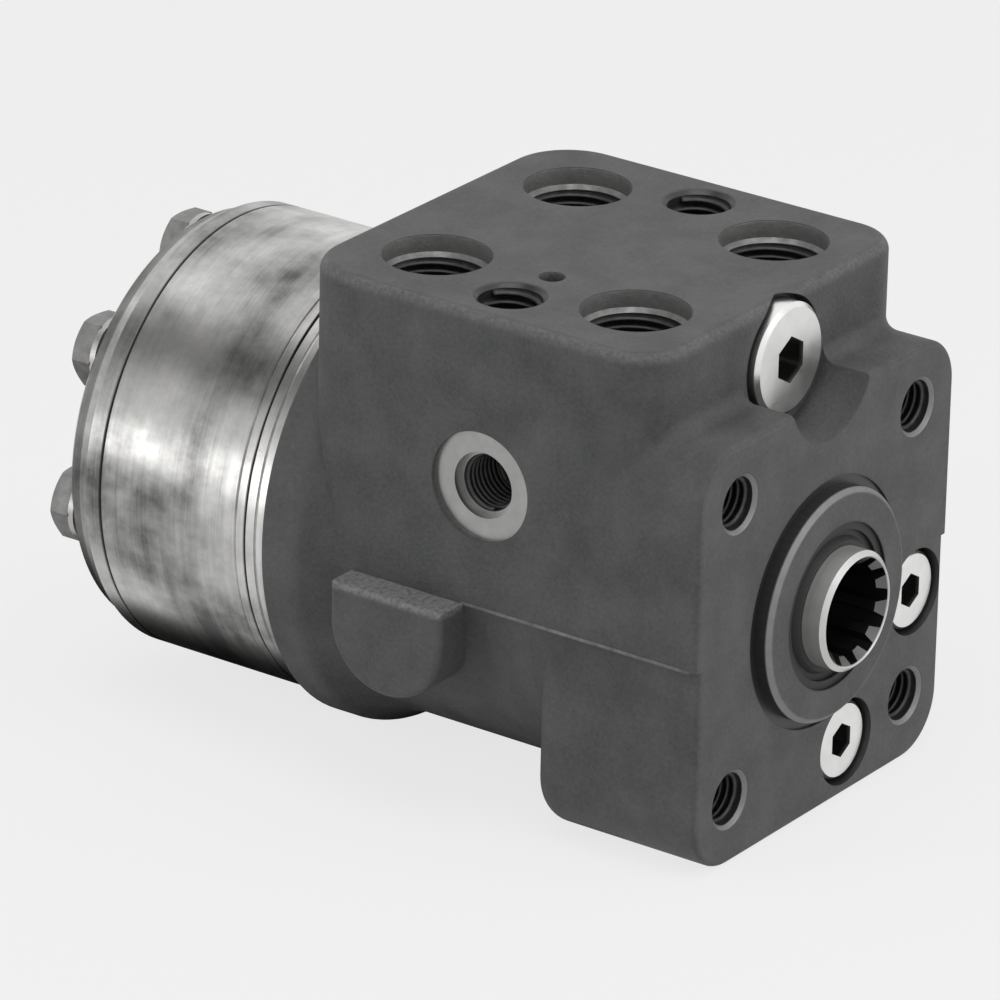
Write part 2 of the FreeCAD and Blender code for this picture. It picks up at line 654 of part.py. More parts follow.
def relief_bore_cuts():
    """Scallop in the flange, spot face, thread and bore of the relief valve, and its two passages."""
    counterbore_end = BLOCK_FRONT + RELIEF_COUNTERBORE_DEPTH
    cuts = [rod(SCALLOP_R, -CUT_OVERSHOOT, BLOCK_FRONT, 0, RELIEF_Z),
            rod(RELIEF_COUNTERBORE_R, 0, counterbore_end, 0, RELIEF_Z),
            rod(RELIEF_THREAD_R + THREAD_FIT, 0, RELIEF_BORE_START, 0, RELIEF_Z),
            rod(RELIEF_BORE_R + THREAD_FIT, 0, RELIEF_SEAT_START + RELIEF_SEAT_LENGTH, 0, RELIEF_Z),
            rod(RELIEF_SEAT_HOLE_R, 0, RELIEF_BORE_END, 0, RELIEF_Z)]
    for y in (BORE_GROOVES[0], BORE_GROOVES[2]):
        cuts.append(drilling(RELIEF_PASSAGE_R, RELIEF_Z, RELIEF_Z - BORE_R + CUT_OVERSHOOT, 0, y))
    return cuts


def shock_bore_cuts():
    cuts = []
    for x, z in SHOCK_VALVES:
        cuts.append(rod(SHOCK_COUNTERBORE_R, -CUT_OVERSHOOT, SHOCK_COUNTERBORE_DEPTH, x, z))
        cuts.append(rod(SHOCK_BORE_R + THREAD_FIT, 0, SHOCK_SEAT_START + SHOCK_SEAT_LENGTH, x, z))
        cuts.append(rod(SHOCK_SEAT_HOLE_R, 0, SHOCK_BORE_END, x, z))
    return cuts


def junction_edges(shape):
    """Inner corner where the valve block rises from the top of the mounting flange."""
    found = []
    for edge in shape.Edges:
        box = edge.BoundBox
        behind_face = box.YMin > BLOCK_FRONT - NEARLY and box.YMax < BLOCK_FRONT + BLOCK_FRONT_CORNER + NEARLY
        below_top = box.ZMax < FLANGE_TOP + NEARLY and box.ZMin > FLANGE_TOP - FLANGE_TOP_CORNER - NEARLY
        if behind_face and below_top:
            found.append(edge)
    return found


def housing():
    body = valve_block().multiFuse(mounting_flange()).removeSplitter()
    body = body.makeFillet(JUNCTION_FILLET, junction_edges(body))
    spigot = chamfered_rod(SPIGOT_R, -SPIGOT_LENGTH, CUT_OVERSHOOT, SPIGOT_CHAMFER)
    body = body.multiFuse([barrel(), side_pads(), spigot])
    root_groove = tube(SPIGOT_ROOT_R, SPIGOT_R, -CUT_OVERSHOOT, SPIGOT_ROOT_DEPTH)
    rear_groove = face_seal_groove(HOUSING_LENGTH - FACE_SEAL_GROOVE_DEPTH, HOUSING_LENGTH + CUT_OVERSHOOT)
    for group in ([root_groove, rear_groove], port_cuts(), main_bore_cuts(), channel_cuts(),
                  cover_screw_cuts(), shock_bore_cuts(), relief_bore_cuts(), column_screw_cuts(),
                  port_face_holes(), side_port_cuts()):
        body = body.cut(group)
    return body


# Seals and thrust bearing at the column end

def dust_seal():
    """Wiper ring: an outer case and a lip that leans out along the neck."""
    front = DUST_SEAL_RECESS - SPIGOT_LENGTH
    rear = front + DUST_SEAL_WIDTH
    lip = NECK_R + SEAL_FIT
    valley = front + DUST_VALLEY_DEPTH
    case = DUST_SEAL_R - DUST_CASE_WIDTH
    profile = [(lip, front - DUST_LIP_LENGTH), (lip + DUST_LIP_WIDTH, front - DUST_LIP_LENGTH),
               (lip + DUST_CASE_WIDTH, valley), (case, valley), (case, front), (DUST_SEAL_R, front),
               (DUST_SEAL_R, rear), (lip + DUST_ROOT_GAP, rear)]
    return revolved(profile)


def shaft_seal():
    """Lip seal, open to the oil side."""
    front = SHAFT_SEAL_START
    rear = front + SHAFT_SEAL_WIDTH
    web = front + SHAFT_SEAL_WEB
    lip = NECK_R + SEAL_FIT
    lip_end = rear - SHAFT_LIP_RECESS
    case = SHAFT_SEAL_R - SHAFT_SEAL_CASE
    profile = [(lip, front), (SHAFT_SEAL_R, front), (SHAFT_SEAL_R, rear), (case, rear), (case, web),
               (lip + SHAFT_LIP_WIDTH, web), (lip + SHAFT_LIP_WIDTH, lip_end),
               (lip + SHAFT_LIP_BEVEL, lip_end),
               (lip, lip_end - SHAFT_LIP_BEVEL)]
    return revolved(profile)


def bearing_race(index):
    start = BEARING_START + index * RACE_THICKNESS
    inner = NECK_R + LOOSE_FIT
    return tube(BORE_R - RACE_RADIAL_GAP, inner, start, start + RACE_THICKNESS)


def bearing_middle():
    return BEARING_START + 1.5 * RACE_THICKNESS


def bearing_cage():
    """Flat cage with one window for each needle."""
    middle = bearing_middle()
    half = CAGE_THICKNESS / 2
    cage = tube(NEEDLE_OUTER_R + CAGE_RIM, NEEDLE_INNER_R - CAGE_RIM, middle - half, middle + half)
    inner = NEEDLE_INNER_R - NEEDLE_PLAY
    length = NEEDLE_OUTER_R + NEEDLE_PLAY - inner
    side = NEEDLE_R + NEEDLE_PLAY
    windows = []
    for k in range(NEEDLE_COUNT):
        window = Part.makeBox(length, 2 * CAGE_THICKNESS, 2 * side, V(inner, middle - CAGE_THICKNESS, -side))
        window.rotate(V(0, 0, 0), ALONG, 360.0 * k / NEEDLE_COUNT)
        windows.append(window)
    return cage.cut(windows)


def bearing_needles():
    inner_end = V(NEEDLE_INNER_R, bearing_middle(), 0)
    needles = []
    for k in range(NEEDLE_COUNT):
        needle = Part.makeCylinder(NEEDLE_R, NEEDLE_OUTER_R - NEEDLE_INNER_R, inner_end, ACROSS)
        needle.rotate(V(0, 0, 0), ALONG, 360.0 * k / NEEDLE_COUNT)
        needles.append(needle)
    return Part.makeCompound(needles)


# Spool and sleeve set

def spring_slot():
    length = 2 * (BORE_R + CUT_OVERSHOOT)
    corner = V(-length / 2, SLOT_START, -SLOT_HALF_HEIGHT)
    return Part.makeBox(length, SLOT_WIDTH, 2 * SLOT_HALF_HEIGHT, corner)


def spool():
    neck = chamfered_rod(NECK_R, NECK_FRONT, SPOOL_SHOULDER + CUT_OVERSHOOT, NECK_CHAMFER)
    body = neck.fuse(rod(SPOOL_R, SPOOL_SHOULDER, SPOOL_REAR))
    socket = spline_prism(SOCKET_MAJOR_R, SOCKET_MINOR_R, SOCKET_TIP_SHARE, SOCKET_ROOT_SHARE,
                          NECK_FRONT - CUT_OVERSHOOT, SOCKET_END)
    mouth = cone(SOCKET_CHAMFER_R, SOCKET_MINOR_R, NECK_FRONT, NECK_FRONT + SOCKET_CHAMFER_R - SOCKET_MINOR_R)
    cavity = rod(SPOOL_CAVITY_R, SOCKET_END + SOCKET_FLOOR, SPOOL_REAR + CUT_OVERSHOOT)
    swing = SPOOL_R * math.sin(math.radians(DEFLECTION_LIMIT))
    pin_hole = Part.makeCylinder(PIN_R + swing + LOOSE_FIT, 2 * BORE_R, V(0, PIN_Y, -BORE_R), UP)
    cuts = [socket, mouth, cavity, spring_slot(), pin_hole]
    for k in range(SPOOL_GROOVE_COUNT):
        x, z = polar(SPOOL_R, 360.0 * (k + 0.5) / SPOOL_GROOVE_COUNT)
        cuts.append(rod(SPOOL_GROOVE_R, BORE_GROOVES[0], BORE_GROOVES[3], x, z))
    return body.cut(cuts)


def sleeve():
    body = tube(SLEEVE_R, SLEEVE_BORE_R, SLEEVE_FRONT, SLEEVE_REAR)
    ring_start = SLOT_START - RETAINER_OVERLAP
    ring_end = SLOT_START + SLOT_WIDTH + RETAINER_OVERLAP
    ring_seat = tube(BORE_R + CUT_OVERSHOOT, SLEEVE_R - RETAINER_THICKNESS, ring_start, ring_end)
    pin_hole = Part.makeCylinder(PIN_R + SEAL_FIT, 2 * BORE_R, V(0, PIN_Y, -BORE_R), UP)
    cuts = [ring_seat, spring_slot(), pin_hole]
    rows = ((METERING_ROW, METERING_PORT_COUNT), (BORE_GROOVES[1], GROOVE_PORT_COUNT),
            (BORE_GROOVES[2], GROOVE_PORT_COUNT))
    for row, count in rows:
        for k in range(count):
            x, z = polar(1.0, 360.0 * k / count)
            cuts.append(Part.makeCylinder(SLEEVE_PORT_R, BORE_R, V(0, row, 0), V(x, 0, z)))
    return body.cut(cuts)


def cross_pin():
    half = SLEEVE_R - PIN_END_GAP
    pin = Part.makeCylinder(PIN_R, 2 * half, V(0, PIN_Y, -half), UP)
    return pin.makeChamfer(PIN_CHAMFER, [e for e in pin.Edges if e.BoundBox.ZLength < NEARLY])


def spring_retaining_ring():
    start = SLOT_START - RETAINER_OVERLAP
    end = SLOT_START + SLOT_WIDTH + RETAINER_OVERLAP
    return tube(SLEEVE_R, SLEEVE_R - RETAINER_THICKNESS, start, end)


def leaf(middle, side, rise):
    """Leaf spring across the shaft: middle is its height on the axis, rise lifts its two ends."""
    reach = math.sqrt((SLEEVE_R - RETAINER_THICKNESS) ** 2 - SLOT_HALF_HEIGHT ** 2) - LEAF_SIDE_GAP
    start = SLOT_START + LEAF_SIDE_GAP
    centre = V(0, start, side * middle)
    low = [V(-reach, start, side * (middle + rise)), centre, V(reach, start, side * (middle + rise))]
    high = [p + V(0, 0, side * LEAF_THICKNESS) for p in low]
    edges = [Part.makeLine(low[2], high[2]), Part.makeLine(high[0], low[0])]
    for line in (low, high):
        edges.append(Part.Arc(*line).toShape() if rise else Part.makeLine(line[0], line[2]))
    outline = Part.Wire(Part.__sortEdges__(edges))
    return Part.Face(outline).extrude(ALONG * (SLOT_WIDTH - 2 * LEAF_SIDE_GAP))


def flat_leaf_springs():
    gap = (LEAF_SPACING - LEAF_THICKNESS) / 2
    return Part.makeCompound([leaf(gap, side, 0) for side in (-1, 1)])


def arched_leaf_springs():
    first = (LEAF_SPACING - LEAF_THICKNESS) / 2 + LEAF_SPACING
    leaves = [leaf(first + k * LEAF_SPACING, side, LEAF_RISE) for k in range(2) for side in (-1, 1)]
    return Part.makeCompound(leaves)


# Gerotor set and cardan shaft

def distributor_plate():
    plate = drum_disc(PLATE_START, RING_START, PLATE_GROOVES)
    start = PLATE_START - CUT_OVERSHOOT
    end = RING_START + CUT_OVERSHOOT
    cuts = [rod(PLATE_HOLE_R, start, end)]
    cuts += [rod(COVER_SCREW_HOLE_R, start, end, x, z) for x, z in cover_screw_places()]
    for k in range(LOBE_COUNT):
        x, z = polar(CHANNEL_CENTRE_R, COVER_SCREW_START_ANGLE + (k + 0.5) * PITCH)
        cuts.append(rod(CHANNEL_R, start, end, x, z))
    return plate.cut(cuts)


def ring_opening(start, end):
    """Space inside the gear ring: seven convex lobes, joined by pockets with rounded corners."""
    pocket_r = LOBE_CENTRE_R + 2 * ECCENTRICITY - LOBE_R + POCKET_CLEARANCE
    near = LOBE_R + POCKET_CORNER_R
    far = pocket_r - POCKET_CORNER_R
    cosine = (LOBE_CENTRE_R ** 2 + far ** 2 - near ** 2) / (2 * LOBE_CENTRE_R * far)
    corner_angle = math.degrees(math.acos(cosine))

    def point(pair):
        return V(pair[0], start, pair[1])

    edges = []
    for k in range(LOBE_COUNT):
        lobe_angle = COVER_SCREW_START_ANGLE + k * PITCH
        lobe = point(polar(LOBE_CENTRE_R, lobe_angle))
        corners = [point(polar(far, lobe_angle + s * corner_angle)) for s in (-1, 1)]
        lobe_ends = [lobe + (c - lobe) * (LOBE_R / near) for c in corners]
        lobe_tip = point(polar(LOBE_CENTRE_R - LOBE_R, lobe_angle))
        edges.append(Part.Arc(lobe_ends[0], lobe_tip, lobe_ends[1]).toShape())
        next_angle = lobe_angle + PITCH
        next_lobe = point(polar(LOBE_CENTRE_R, next_angle))
        next_corner = point(polar(far, next_angle - corner_angle))
        pocket_start = point(polar(pocket_r, lobe_angle + corner_angle))
        pocket_end = point(polar(pocket_r, next_angle - corner_angle))
        next_lobe_end = next_lobe + (next_corner - next_lobe) * (LOBE_R / near)
        edges.append(arc_about(corners[1], lobe_ends[1], pocket_start))
        pocket_middle = point(polar(pocket_r, lobe_angle + PITCH / 2))
        edges.append(Part.Arc(pocket_start, pocket_middle, pocket_end).toShape())
        edges.append(arc_about(next_corner, pocket_end, next_lobe_end))
    return Part.Face(Part.Wire(edges)).extrude(ALONG * (end - start))


def gear_ring():
    ring = drum_disc(RING_START, COVER_START, RING_GROOVES)
    start = RING_START - CUT_OVERSHOOT
    end = COVER_START + CUT_OVERSHOOT
    cuts = [rod(COVER_SCREW_HOLE_R, start, end, x, z) for x, z in cover_screw_places()]
    cuts.append(face_seal_groove(start, RING_START + FACE_SEAL_GROOVE_DEPTH))
    cuts.append(face_seal_groove(COVER_START - FACE_SEAL_GROOVE_DEPTH, end))
    cuts.append(ring_opening(start, end))
    return ring.cut(cuts)


def rotor_outline_point(t):
    """Envelope of the lobes in the rotor's own frame, pulled in by the tooth clearance."""
    a, b = LOBE_CENTRE_R, ECCENTRICITY
    n = LOBE_COUNT
    px = a * math.cos(t) - b * math.cos(n * t)
    pz = a * math.sin(t) - b * math.sin(n * t)
    dx = -a * math.sin(t) + n * b * math.sin(n * t)
    dz = a * math.cos(t) - n * b * math.cos(n * t)
    inward = (LOBE_R + TOOTH_CLEARANCE) / math.hypot(dx, dz)
    return px - dz * inward, pz + dx * inward


def rotor():
    """Six-toothed rotor: each arc of its outline runs through three points of the lobes' envelope."""
    start = RING_START + ROTOR_END_GAP
    end = COVER_START - ROTOR_END_GAP
    count = ARCS_PER_TOOTH * (LOBE_COUNT - 1)
    arcs = []
    for k in range(count):
        places = [rotor_outline_point(2 * math.pi * (k + share) / count) for share in (0, 0.5, 1)]
        arcs.append(Part.Arc(*[V(x, start, z) for x, z in places]).toShape())
    star = Part.Face(Part.Wire(arcs)).extrude(ALONG * (end - start))
    splined_hole = spline_prism(HEAD_MAJOR_R + HEAD_FIT, HEAD_MINOR_R + HEAD_FIT,
                                HEAD_TIP_SHARE + HEAD_TIP_PLAY, HEAD_ROOT_SHARE + HEAD_ROOT_PLAY,
                                start - CUT_OVERSHOOT, end + CUT_OVERSHOOT)
    star = star.cut(splined_hole)
    star.rotate(V(0, 0, 0), ALONG, -ECCENTRIC_DIRECTION)
    star.translate(eccentric_offset())
    return star


def eccentric_offset():
    x, z = polar(ECCENTRICITY, ECCENTRIC_DIRECTION)
    return V(x, 0, z)


def cardan_shaft():
    """Forked on the cross pin at the front, with a short splined head in the rotor."""
    head = spline_prism(HEAD_MAJOR_R, HEAD_MINOR_R, HEAD_TIP_SHARE, HEAD_ROOT_SHARE, HEAD_START, HEAD_END)
    crown_r = HEAD_MAJOR_R + HEAD_CROWN
    crown_start = HEAD_START + HEAD_BEVEL
    crown_end = HEAD_END - HEAD_BEVEL
    crown = cone(HEAD_MINOR_R, crown_r, HEAD_START, crown_start).fuse(
        [rod(crown_r, crown_start, crown_end), cone(crown_r, HEAD_MINOR_R, crown_end, HEAD_END)])
    shank = rod(SHANK_R, FORK_END - CUT_OVERSHOOT, HEAD_START + CUT_OVERSHOOT)
    neck = cone(SHANK_R, HEAD_MINOR_R, HEAD_START - HEAD_NECK, HEAD_START)
    fork = rod(FORK_R, FORK_START, FORK_END).fuse(cone(FORK_R, SHANK_R, FORK_END, FORK_END + FORK_BEVEL))
    slot_half = PIN_R + FORK_SLOT_FIT
    slot_length = PIN_Y + FORK_SLOT_DEPTH - FORK_START + CUT_OVERSHOOT
    corner = V(-slot_half, FORK_START - CUT_OVERSHOOT, -BORE_R)
    slot = Part.makeBox(2 * slot_half, slot_length, 2 * BORE_R, corner)
    shaft = fork.multiFuse([shank, neck, head.common(crown)]).cut(slot)
    shaft.rotate(V(0, PIN_Y, 0), ALONG.cross(eccentric_offset()), CARDAN_TILT)
    return shaft


def spacer():
    offset = eccentric_offset()
    end = COVER_START - ROTOR_END_GAP
    return chamfered_rod(SPACER_R, HEAD_END + SPACER_GAP, end, SPACER_CHAMFER, offset.x, offset.z)


def end_cover():
    rim_end = COVER_START + COVER_RIM_WIDTH
    profile = [(0, COVER_START), (DRUM_R - DRUM_EDGE, COVER_START), (DRUM_R, COVER_START + DRUM_EDGE),
               (DRUM_R, rim_end), (COVER_SHOULDER_R, rim_end + DRUM_EDGE),
               (COVER_REAR_R + COVER_REAR_EDGE, COVER_REAR - COVER_REAR_EDGE), (COVER_REAR_R, COVER_REAR),
               (0, COVER_REAR)]
    holes = [rod(COVER_SCREW_HOLE_R, COVER_START - CUT_OVERSHOOT, COVER_REAR + CUT_OVERSHOOT, x, z)
             for x, z in cover_screw_places()]
    return revolved(profile).cut(holes)


def face_seal(middle):
    section = []
    for k in range(FACE_SEAL_SIDES):
        across, along = polar(FACE_SEAL_SECTION_R, 360.0 * k / FACE_SEAL_SIDES)
        section.append((FACE_SEAL_R + across, middle + along))
    return revolved(section)


# Screws at the end cover, and the check valve under one of them

def cover_screw(x, z, tip):
    """Hexagon screw with a bevelled head; it stands on its washer."""
    seat = COVER_REAR + WASHER_THICKNESS
    top = seat + COVER_HEAD_HEIGHT
    bevel_base_r = COVER_HEAD_TOP_R + COVER_HEAD_HEIGHT / math.tan(math.radians(COVER_HEAD_BEVEL_ANGLE))
    bevel = cone(bevel_base_r, COVER_HEAD_TOP_R, seat, top, x, z)
    head = hexagon(COVER_HEAD_AF, seat, top, x, z).common(bevel)
    nose_end = tip + COVER_SCREW_CHAMFER
    nose = cone(COVER_SCREW_R - COVER_SCREW_CHAMFER, COVER_SCREW_R, tip, nose_end, x, z)
    return head.multiFuse([rod(COVER_SCREW_R, nose_end, seat + CUT_OVERSHOOT, x, z), nose])


def end_cover_screws():
    tip = HOUSING_LENGTH - COVER_SCREW_DEPTH + COVER_SCREW_END_GAP
    places = [p for k, p in enumerate(cover_screw_places()) if k != CHECK_VALVE_SCREW_INDEX]
    return Part.makeCompound([cover_screw(x, z, tip) for x, z in places])


def check_ball_centre():
    """The ball rests on a 45 degree seat."""
    x, z = cover_screw_places()[CHECK_VALVE_SCREW_INDEX]
    y = CHECK_SEAT_Y - CHECK_BORE_R + (CHECK_BALL_R + BALL_FIT) * DIAGONAL
    return V(x, y, z)


def pin_screw():
    """Seventh screw, held in the threaded bush; its pin stops the check ball."""
    x, z = cover_screw_places()[CHECK_VALVE_SCREW_INDEX]
    tip = HOUSING_LENGTH - BUSH_LENGTH + CUT_OVERSHOOT
    pin_start = check_ball_centre().y + CHECK_BALL_R + CHECK_LIFT + BALL_FIT
    return cover_screw(x, z, tip).fuse(rod(SCREW_PIN_R, pin_start, tip + COVER_SCREW_CHAMFER, x, z))


def screw_washers():
    end = COVER_REAR + WASHER_THICKNESS
    return Part.makeCompound([tube(WASHER_R, COVER_SCREW_HOLE_R, COVER_REAR, end, x, z)
                              for x, z in cover_screw_places()])


def check_valve_bush():
    x, z = cover_screw_places()[CHECK_VALVE_SCREW_INDEX]
    end = HOUSING_LENGTH - BUSH_RECESS
    return tube(BUSH_R, COVER_SCREW_R + THREAD_FIT, end - BUSH_LENGTH, end, x, z)


def check_ball():
    return Part.makeSphere(CHECK_BALL_R, check_ball_centre())


# Relief valve

def relief_valve_plug():
    front = BLOCK_FRONT - RELIEF_HEAD_PROUD
    head = chamfered_rod(RELIEF_HEAD_R, front, RELIEF_SEAL_START, RELIEF_HEAD_CHAMFER, 0, RELIEF_Z)
    shank = rod(RELIEF_THREAD_R, RELIEF_SEAL_START - CUT_OVERSHOOT, RELIEF_PLUG_END, 0, RELIEF_Z)
    return head.fuse(shank).cut(hex_socket(HEX_RELIEF_PLUG, front, 0, RELIEF_Z))


def relief_valve_seal():
    end = RELIEF_SEAL_START + RELIEF_SEAL_THICKNESS
    return tube(RELIEF_HEAD_R, RELIEF_THREAD_R + SEAL_FIT, RELIEF_SEAL_START, end, 0, RELIEF_Z)


def relief_adjusting_screw():
    end = RELIEF_SCREW_START + RELIEF_SCREW_LENGTH
    body = chamfered_rod(RELIEF_BORE_R, RELIEF_SCREW_START, end, RELIEF_HEAD_CHAMFER, 0, RELIEF_Z)
    return body.cut(hex_socket(HEX_RELIEF_SCREW, RELIEF_SCREW_START, 0, RELIEF_Z))


def relief_spring():
    return coil(RELIEF_SPRING_R, RELIEF_WIRE_R, RELIEF_SPRING_START, RELIEF_SPRING_END, 0, RELIEF_Z)


def relief_poppet():
    """Spring disc, stem and cone; the cone closes the seat's hole with a 45 degree face."""
    disc_start = RELIEF_SPRING_END + SEAL_FIT
    disc_end = disc_start + RELIEF_DISC_THICKNESS
    tip = RELIEF_SEAT_START - BALL_FIT * DIAGONAL + RELIEF_SEAT_HOLE_R - RELIEF_TIP_R
    cone_start = tip - (RELIEF_CONE_R - RELIEF_TIP_R)
    parts = [rod(RELIEF_STEM_R, disc_end, cone_start, 0, RELIEF_Z),
             cone(RELIEF_CONE_R, RELIEF_TIP_R, cone_start, tip, 0, RELIEF_Z)]
    return rod(RELIEF_DISC_R, disc_start, disc_end, 0, RELIEF_Z).multiFuse(parts)


def relief_seat():
    end = RELIEF_SEAT_START + RELIEF_SEAT_LENGTH
    return tube(RELIEF_BORE_R, RELIEF_SEAT_HOLE_R, RELIEF_SEAT_START, end, 0, RELIEF_Z)


# Shock valves

def shock_valve_plugs():
    front = SHOCK_HEAD_RECESS
    plugs = []
    for x, z in SHOCK_VALVES:
        head = chamfered_rod(SHOCK_HEAD_R, front, SHOCK_SEAL_START, SHOCK_HEAD_CHAMFER, x, z)
        shank = rod(SHOCK_BORE_R, front + CUT_OVERSHOOT, front + SHOCK_PLUG_LENGTH, x, z)
        plugs.append(head.fuse(shank).cut(hex_socket(HEX_SHOCK_PLUG, front, x, z)))
    return Part.makeCompound(plugs)


def shock_valve_seals():
    end = SHOCK_SEAL_START + SHOCK_SEAL_THICKNESS
    return Part.makeCompound([tube(SHOCK_HEAD_R, SHOCK_BORE_R + SEAL_FIT, SHOCK_SEAL_START, end, x, z)
                              for x, z in SHOCK_VALVES])


def shock_adjusting_screws():
    end = SHOCK_SCREW_START + SHOCK_SCREW_LENGTH
    screws = []
    for x, z in SHOCK_VALVES:
        body = chamfered_rod(SHOCK_BORE_R, SHOCK_SCREW_START, end, SHOCK_HEAD_CHAMFER, x, z)
        screws.append(body.cut(hex_socket(HEX_SHOCK_SCREW, SHOCK_SCREW_START, x, z)))
    return Part.makeCompound(screws)


def shock_ball_centre_y():
    return SHOCK_SEAT_START + SHOCK_SEAT_MOUTH_R - (SHOCK_BALL_R + BALL_FIT) * DIAGONAL


def shock_spring(place):
    """From the adjusting screw to the ball, which it touches with the inner edge of its last turn."""
    x, z = place
    start = SHOCK_SCREW_START + SHOCK_SCREW_LENGTH + SEAL_FIT
    rest_on_ball = math.sqrt(SHOCK_BALL_R ** 2 - (SHOCK_SPRING_R - SHOCK_WIRE_R) ** 2) + SEAL_FIT
    return coil(SHOCK_SPRING_R, SHOCK_WIRE_R, start, shock_ball_centre_y() - rest_on_ball, x, z)


def shock_ball(place):
    x, z = place
    return Part.makeSphere(SHOCK_BALL_R, V(x, shock_ball_centre_y(), z))


def shock_valve_seats():
    seats = []
    depth = SHOCK_SEAT_MOUTH_R - SHOCK_SEAT_HOLE_R
    for x, z in SHOCK_VALVES:
        seat = rod(SHOCK_BORE_R, SHOCK_SEAT_START, SHOCK_SEAT_START + SHOCK_SEAT_LENGTH, x, z)
        mouth = cone(SHOCK_SEAT_MOUTH_R, SHOCK_SEAT_HOLE_R, SHOCK_SEAT_START, SHOCK_SEAT_START + depth, x, z)
        hole = rod(SHOCK_SEAT_HOLE_R, SHOCK_SEAT_START, SHOCK_BORE_END, x, z)
        seats.append(seat.cut([mouth, hole]))
    return Part.makeCompound(seats)


def build():
    seal_middle = FACE_SEAL_GROOVE_DEPTH / 2
    return {
        "housing": housing(),
        "dust_seal": dust_seal(),
        "shaft_seal": shaft_seal(),
        "thrust_bearing_front_race": bearing_race(0),
        "thrust_bearing_cage": bearing_cage(),
        "thrust_bearing_needles": bearing_needles(),
        "thrust_bearing_rear_race": bearing_race(2),
        "spool": spool(),
        "sleeve": sleeve(),
        "cross_pin": cross_pin(),
        "spring_retaining_ring": spring_retaining_ring(),
        "flat_leaf_springs": flat_leaf_springs(),
        "arched_leaf_springs": arched_leaf_springs(),
        "cardan_shaft": cardan_shaft(),
        "distributor_plate": distributor_plate(),
        "gear_ring": gear_ring(),
        "rotor": rotor(),
        "spacer": spacer(),
        "end_cover": end_cover(),
        "housing_face_seal": face_seal(HOUSING_LENGTH - seal_middle),
        "gear_ring_front_seal": face_seal(RING_START + seal_middle),
        "gear_ring_rear_seal": face_seal(COVER_START - seal_middle),
        "end_cover_screws": end_cover_screws(),
        "pin_screw": pin_screw(),
        "screw_washers": screw_washers(),
        "check_valve_bush": check_valve_bush(),
        "check_ball": check_ball(),
        "relief_valve_plug": relief_valve_plug(),
        "relief_valve_seal": relief_valve_seal(),
        "relief_adjusting_screw": relief_adjusting_screw(),
        "relief_spring": relief_spring(),
        "relief_poppet": relief_poppet(),
        "relief_seat": relief_seat(),
        "shock_valve_plugs": shock_valve_plugs(),
        "shock_valve_seals": shock_valve_seals(),
        "shock_adjusting_screws": shock_adjusting_screws(),
        "upper_shock_spring": shock_spring(SHOCK_VALVES[0]),
        "lower_shock_spring": shock_spring(SHOCK_VALVES[1]),
        "upper_shock_ball": shock_ball(SHOCK_VALVES[0]),
        "lower_shock_ball": shock_ball(SHOCK_VALVES[1]),
        "shock_valve_seats": shock_valve_seats(),
    }


def main():
    os.makedirs("parts", exist_ok=True)
    for node, shape in build().items():
        if not shape.isValid():
            raise ValueError(node + " is not a valid shape")
        shape.exportStep("parts/" + node + ".step")
        print(node, len(shape.Solids), round(shape.Volume, 1))


main()
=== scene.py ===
"""Finishes, threads and studio for the orbital steering unit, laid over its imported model."""

import json
import math

import bmesh
import bpy
from bpy.props import FloatProperty, FloatVectorProperty, IntProperty, PointerProperty
from mathutils import Matrix, Vector


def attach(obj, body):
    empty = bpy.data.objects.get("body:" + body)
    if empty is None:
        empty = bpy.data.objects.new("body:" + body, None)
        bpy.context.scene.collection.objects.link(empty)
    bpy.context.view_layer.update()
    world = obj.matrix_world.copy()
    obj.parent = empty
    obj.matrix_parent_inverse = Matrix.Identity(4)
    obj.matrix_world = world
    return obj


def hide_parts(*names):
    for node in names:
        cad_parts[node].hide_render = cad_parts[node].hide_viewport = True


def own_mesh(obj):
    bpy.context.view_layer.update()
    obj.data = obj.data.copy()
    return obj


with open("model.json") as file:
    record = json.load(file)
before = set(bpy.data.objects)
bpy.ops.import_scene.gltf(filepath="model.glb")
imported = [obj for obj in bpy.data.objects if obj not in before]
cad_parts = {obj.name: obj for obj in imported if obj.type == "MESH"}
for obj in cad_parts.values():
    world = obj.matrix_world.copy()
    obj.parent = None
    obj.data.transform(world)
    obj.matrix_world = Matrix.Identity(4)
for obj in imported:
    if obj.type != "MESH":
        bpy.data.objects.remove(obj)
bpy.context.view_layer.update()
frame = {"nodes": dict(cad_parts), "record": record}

bl_info = {
    "name": "Orbital steering unit",
    "version": (1, 0, 0),
    "blender": (4, 5, 0),
    "location": "3D View > Sidebar > Steering unit",
    "description": "Finishes, threads and studio for an orbital steering unit",
    "category": "Object",
}

# Lengths are in metres. The spool turns about Y, the mounting face is at 0 with the drum behind it, and
# Z is up.
MM = 0.001
MOUNTS = {mount["name"]: mount for mount in frame["record"]["mounts"]}
UNIT_AXIS = (0.0, 0.0)

# Width over which one finish changes into the next
SOFT = 0.1 * MM


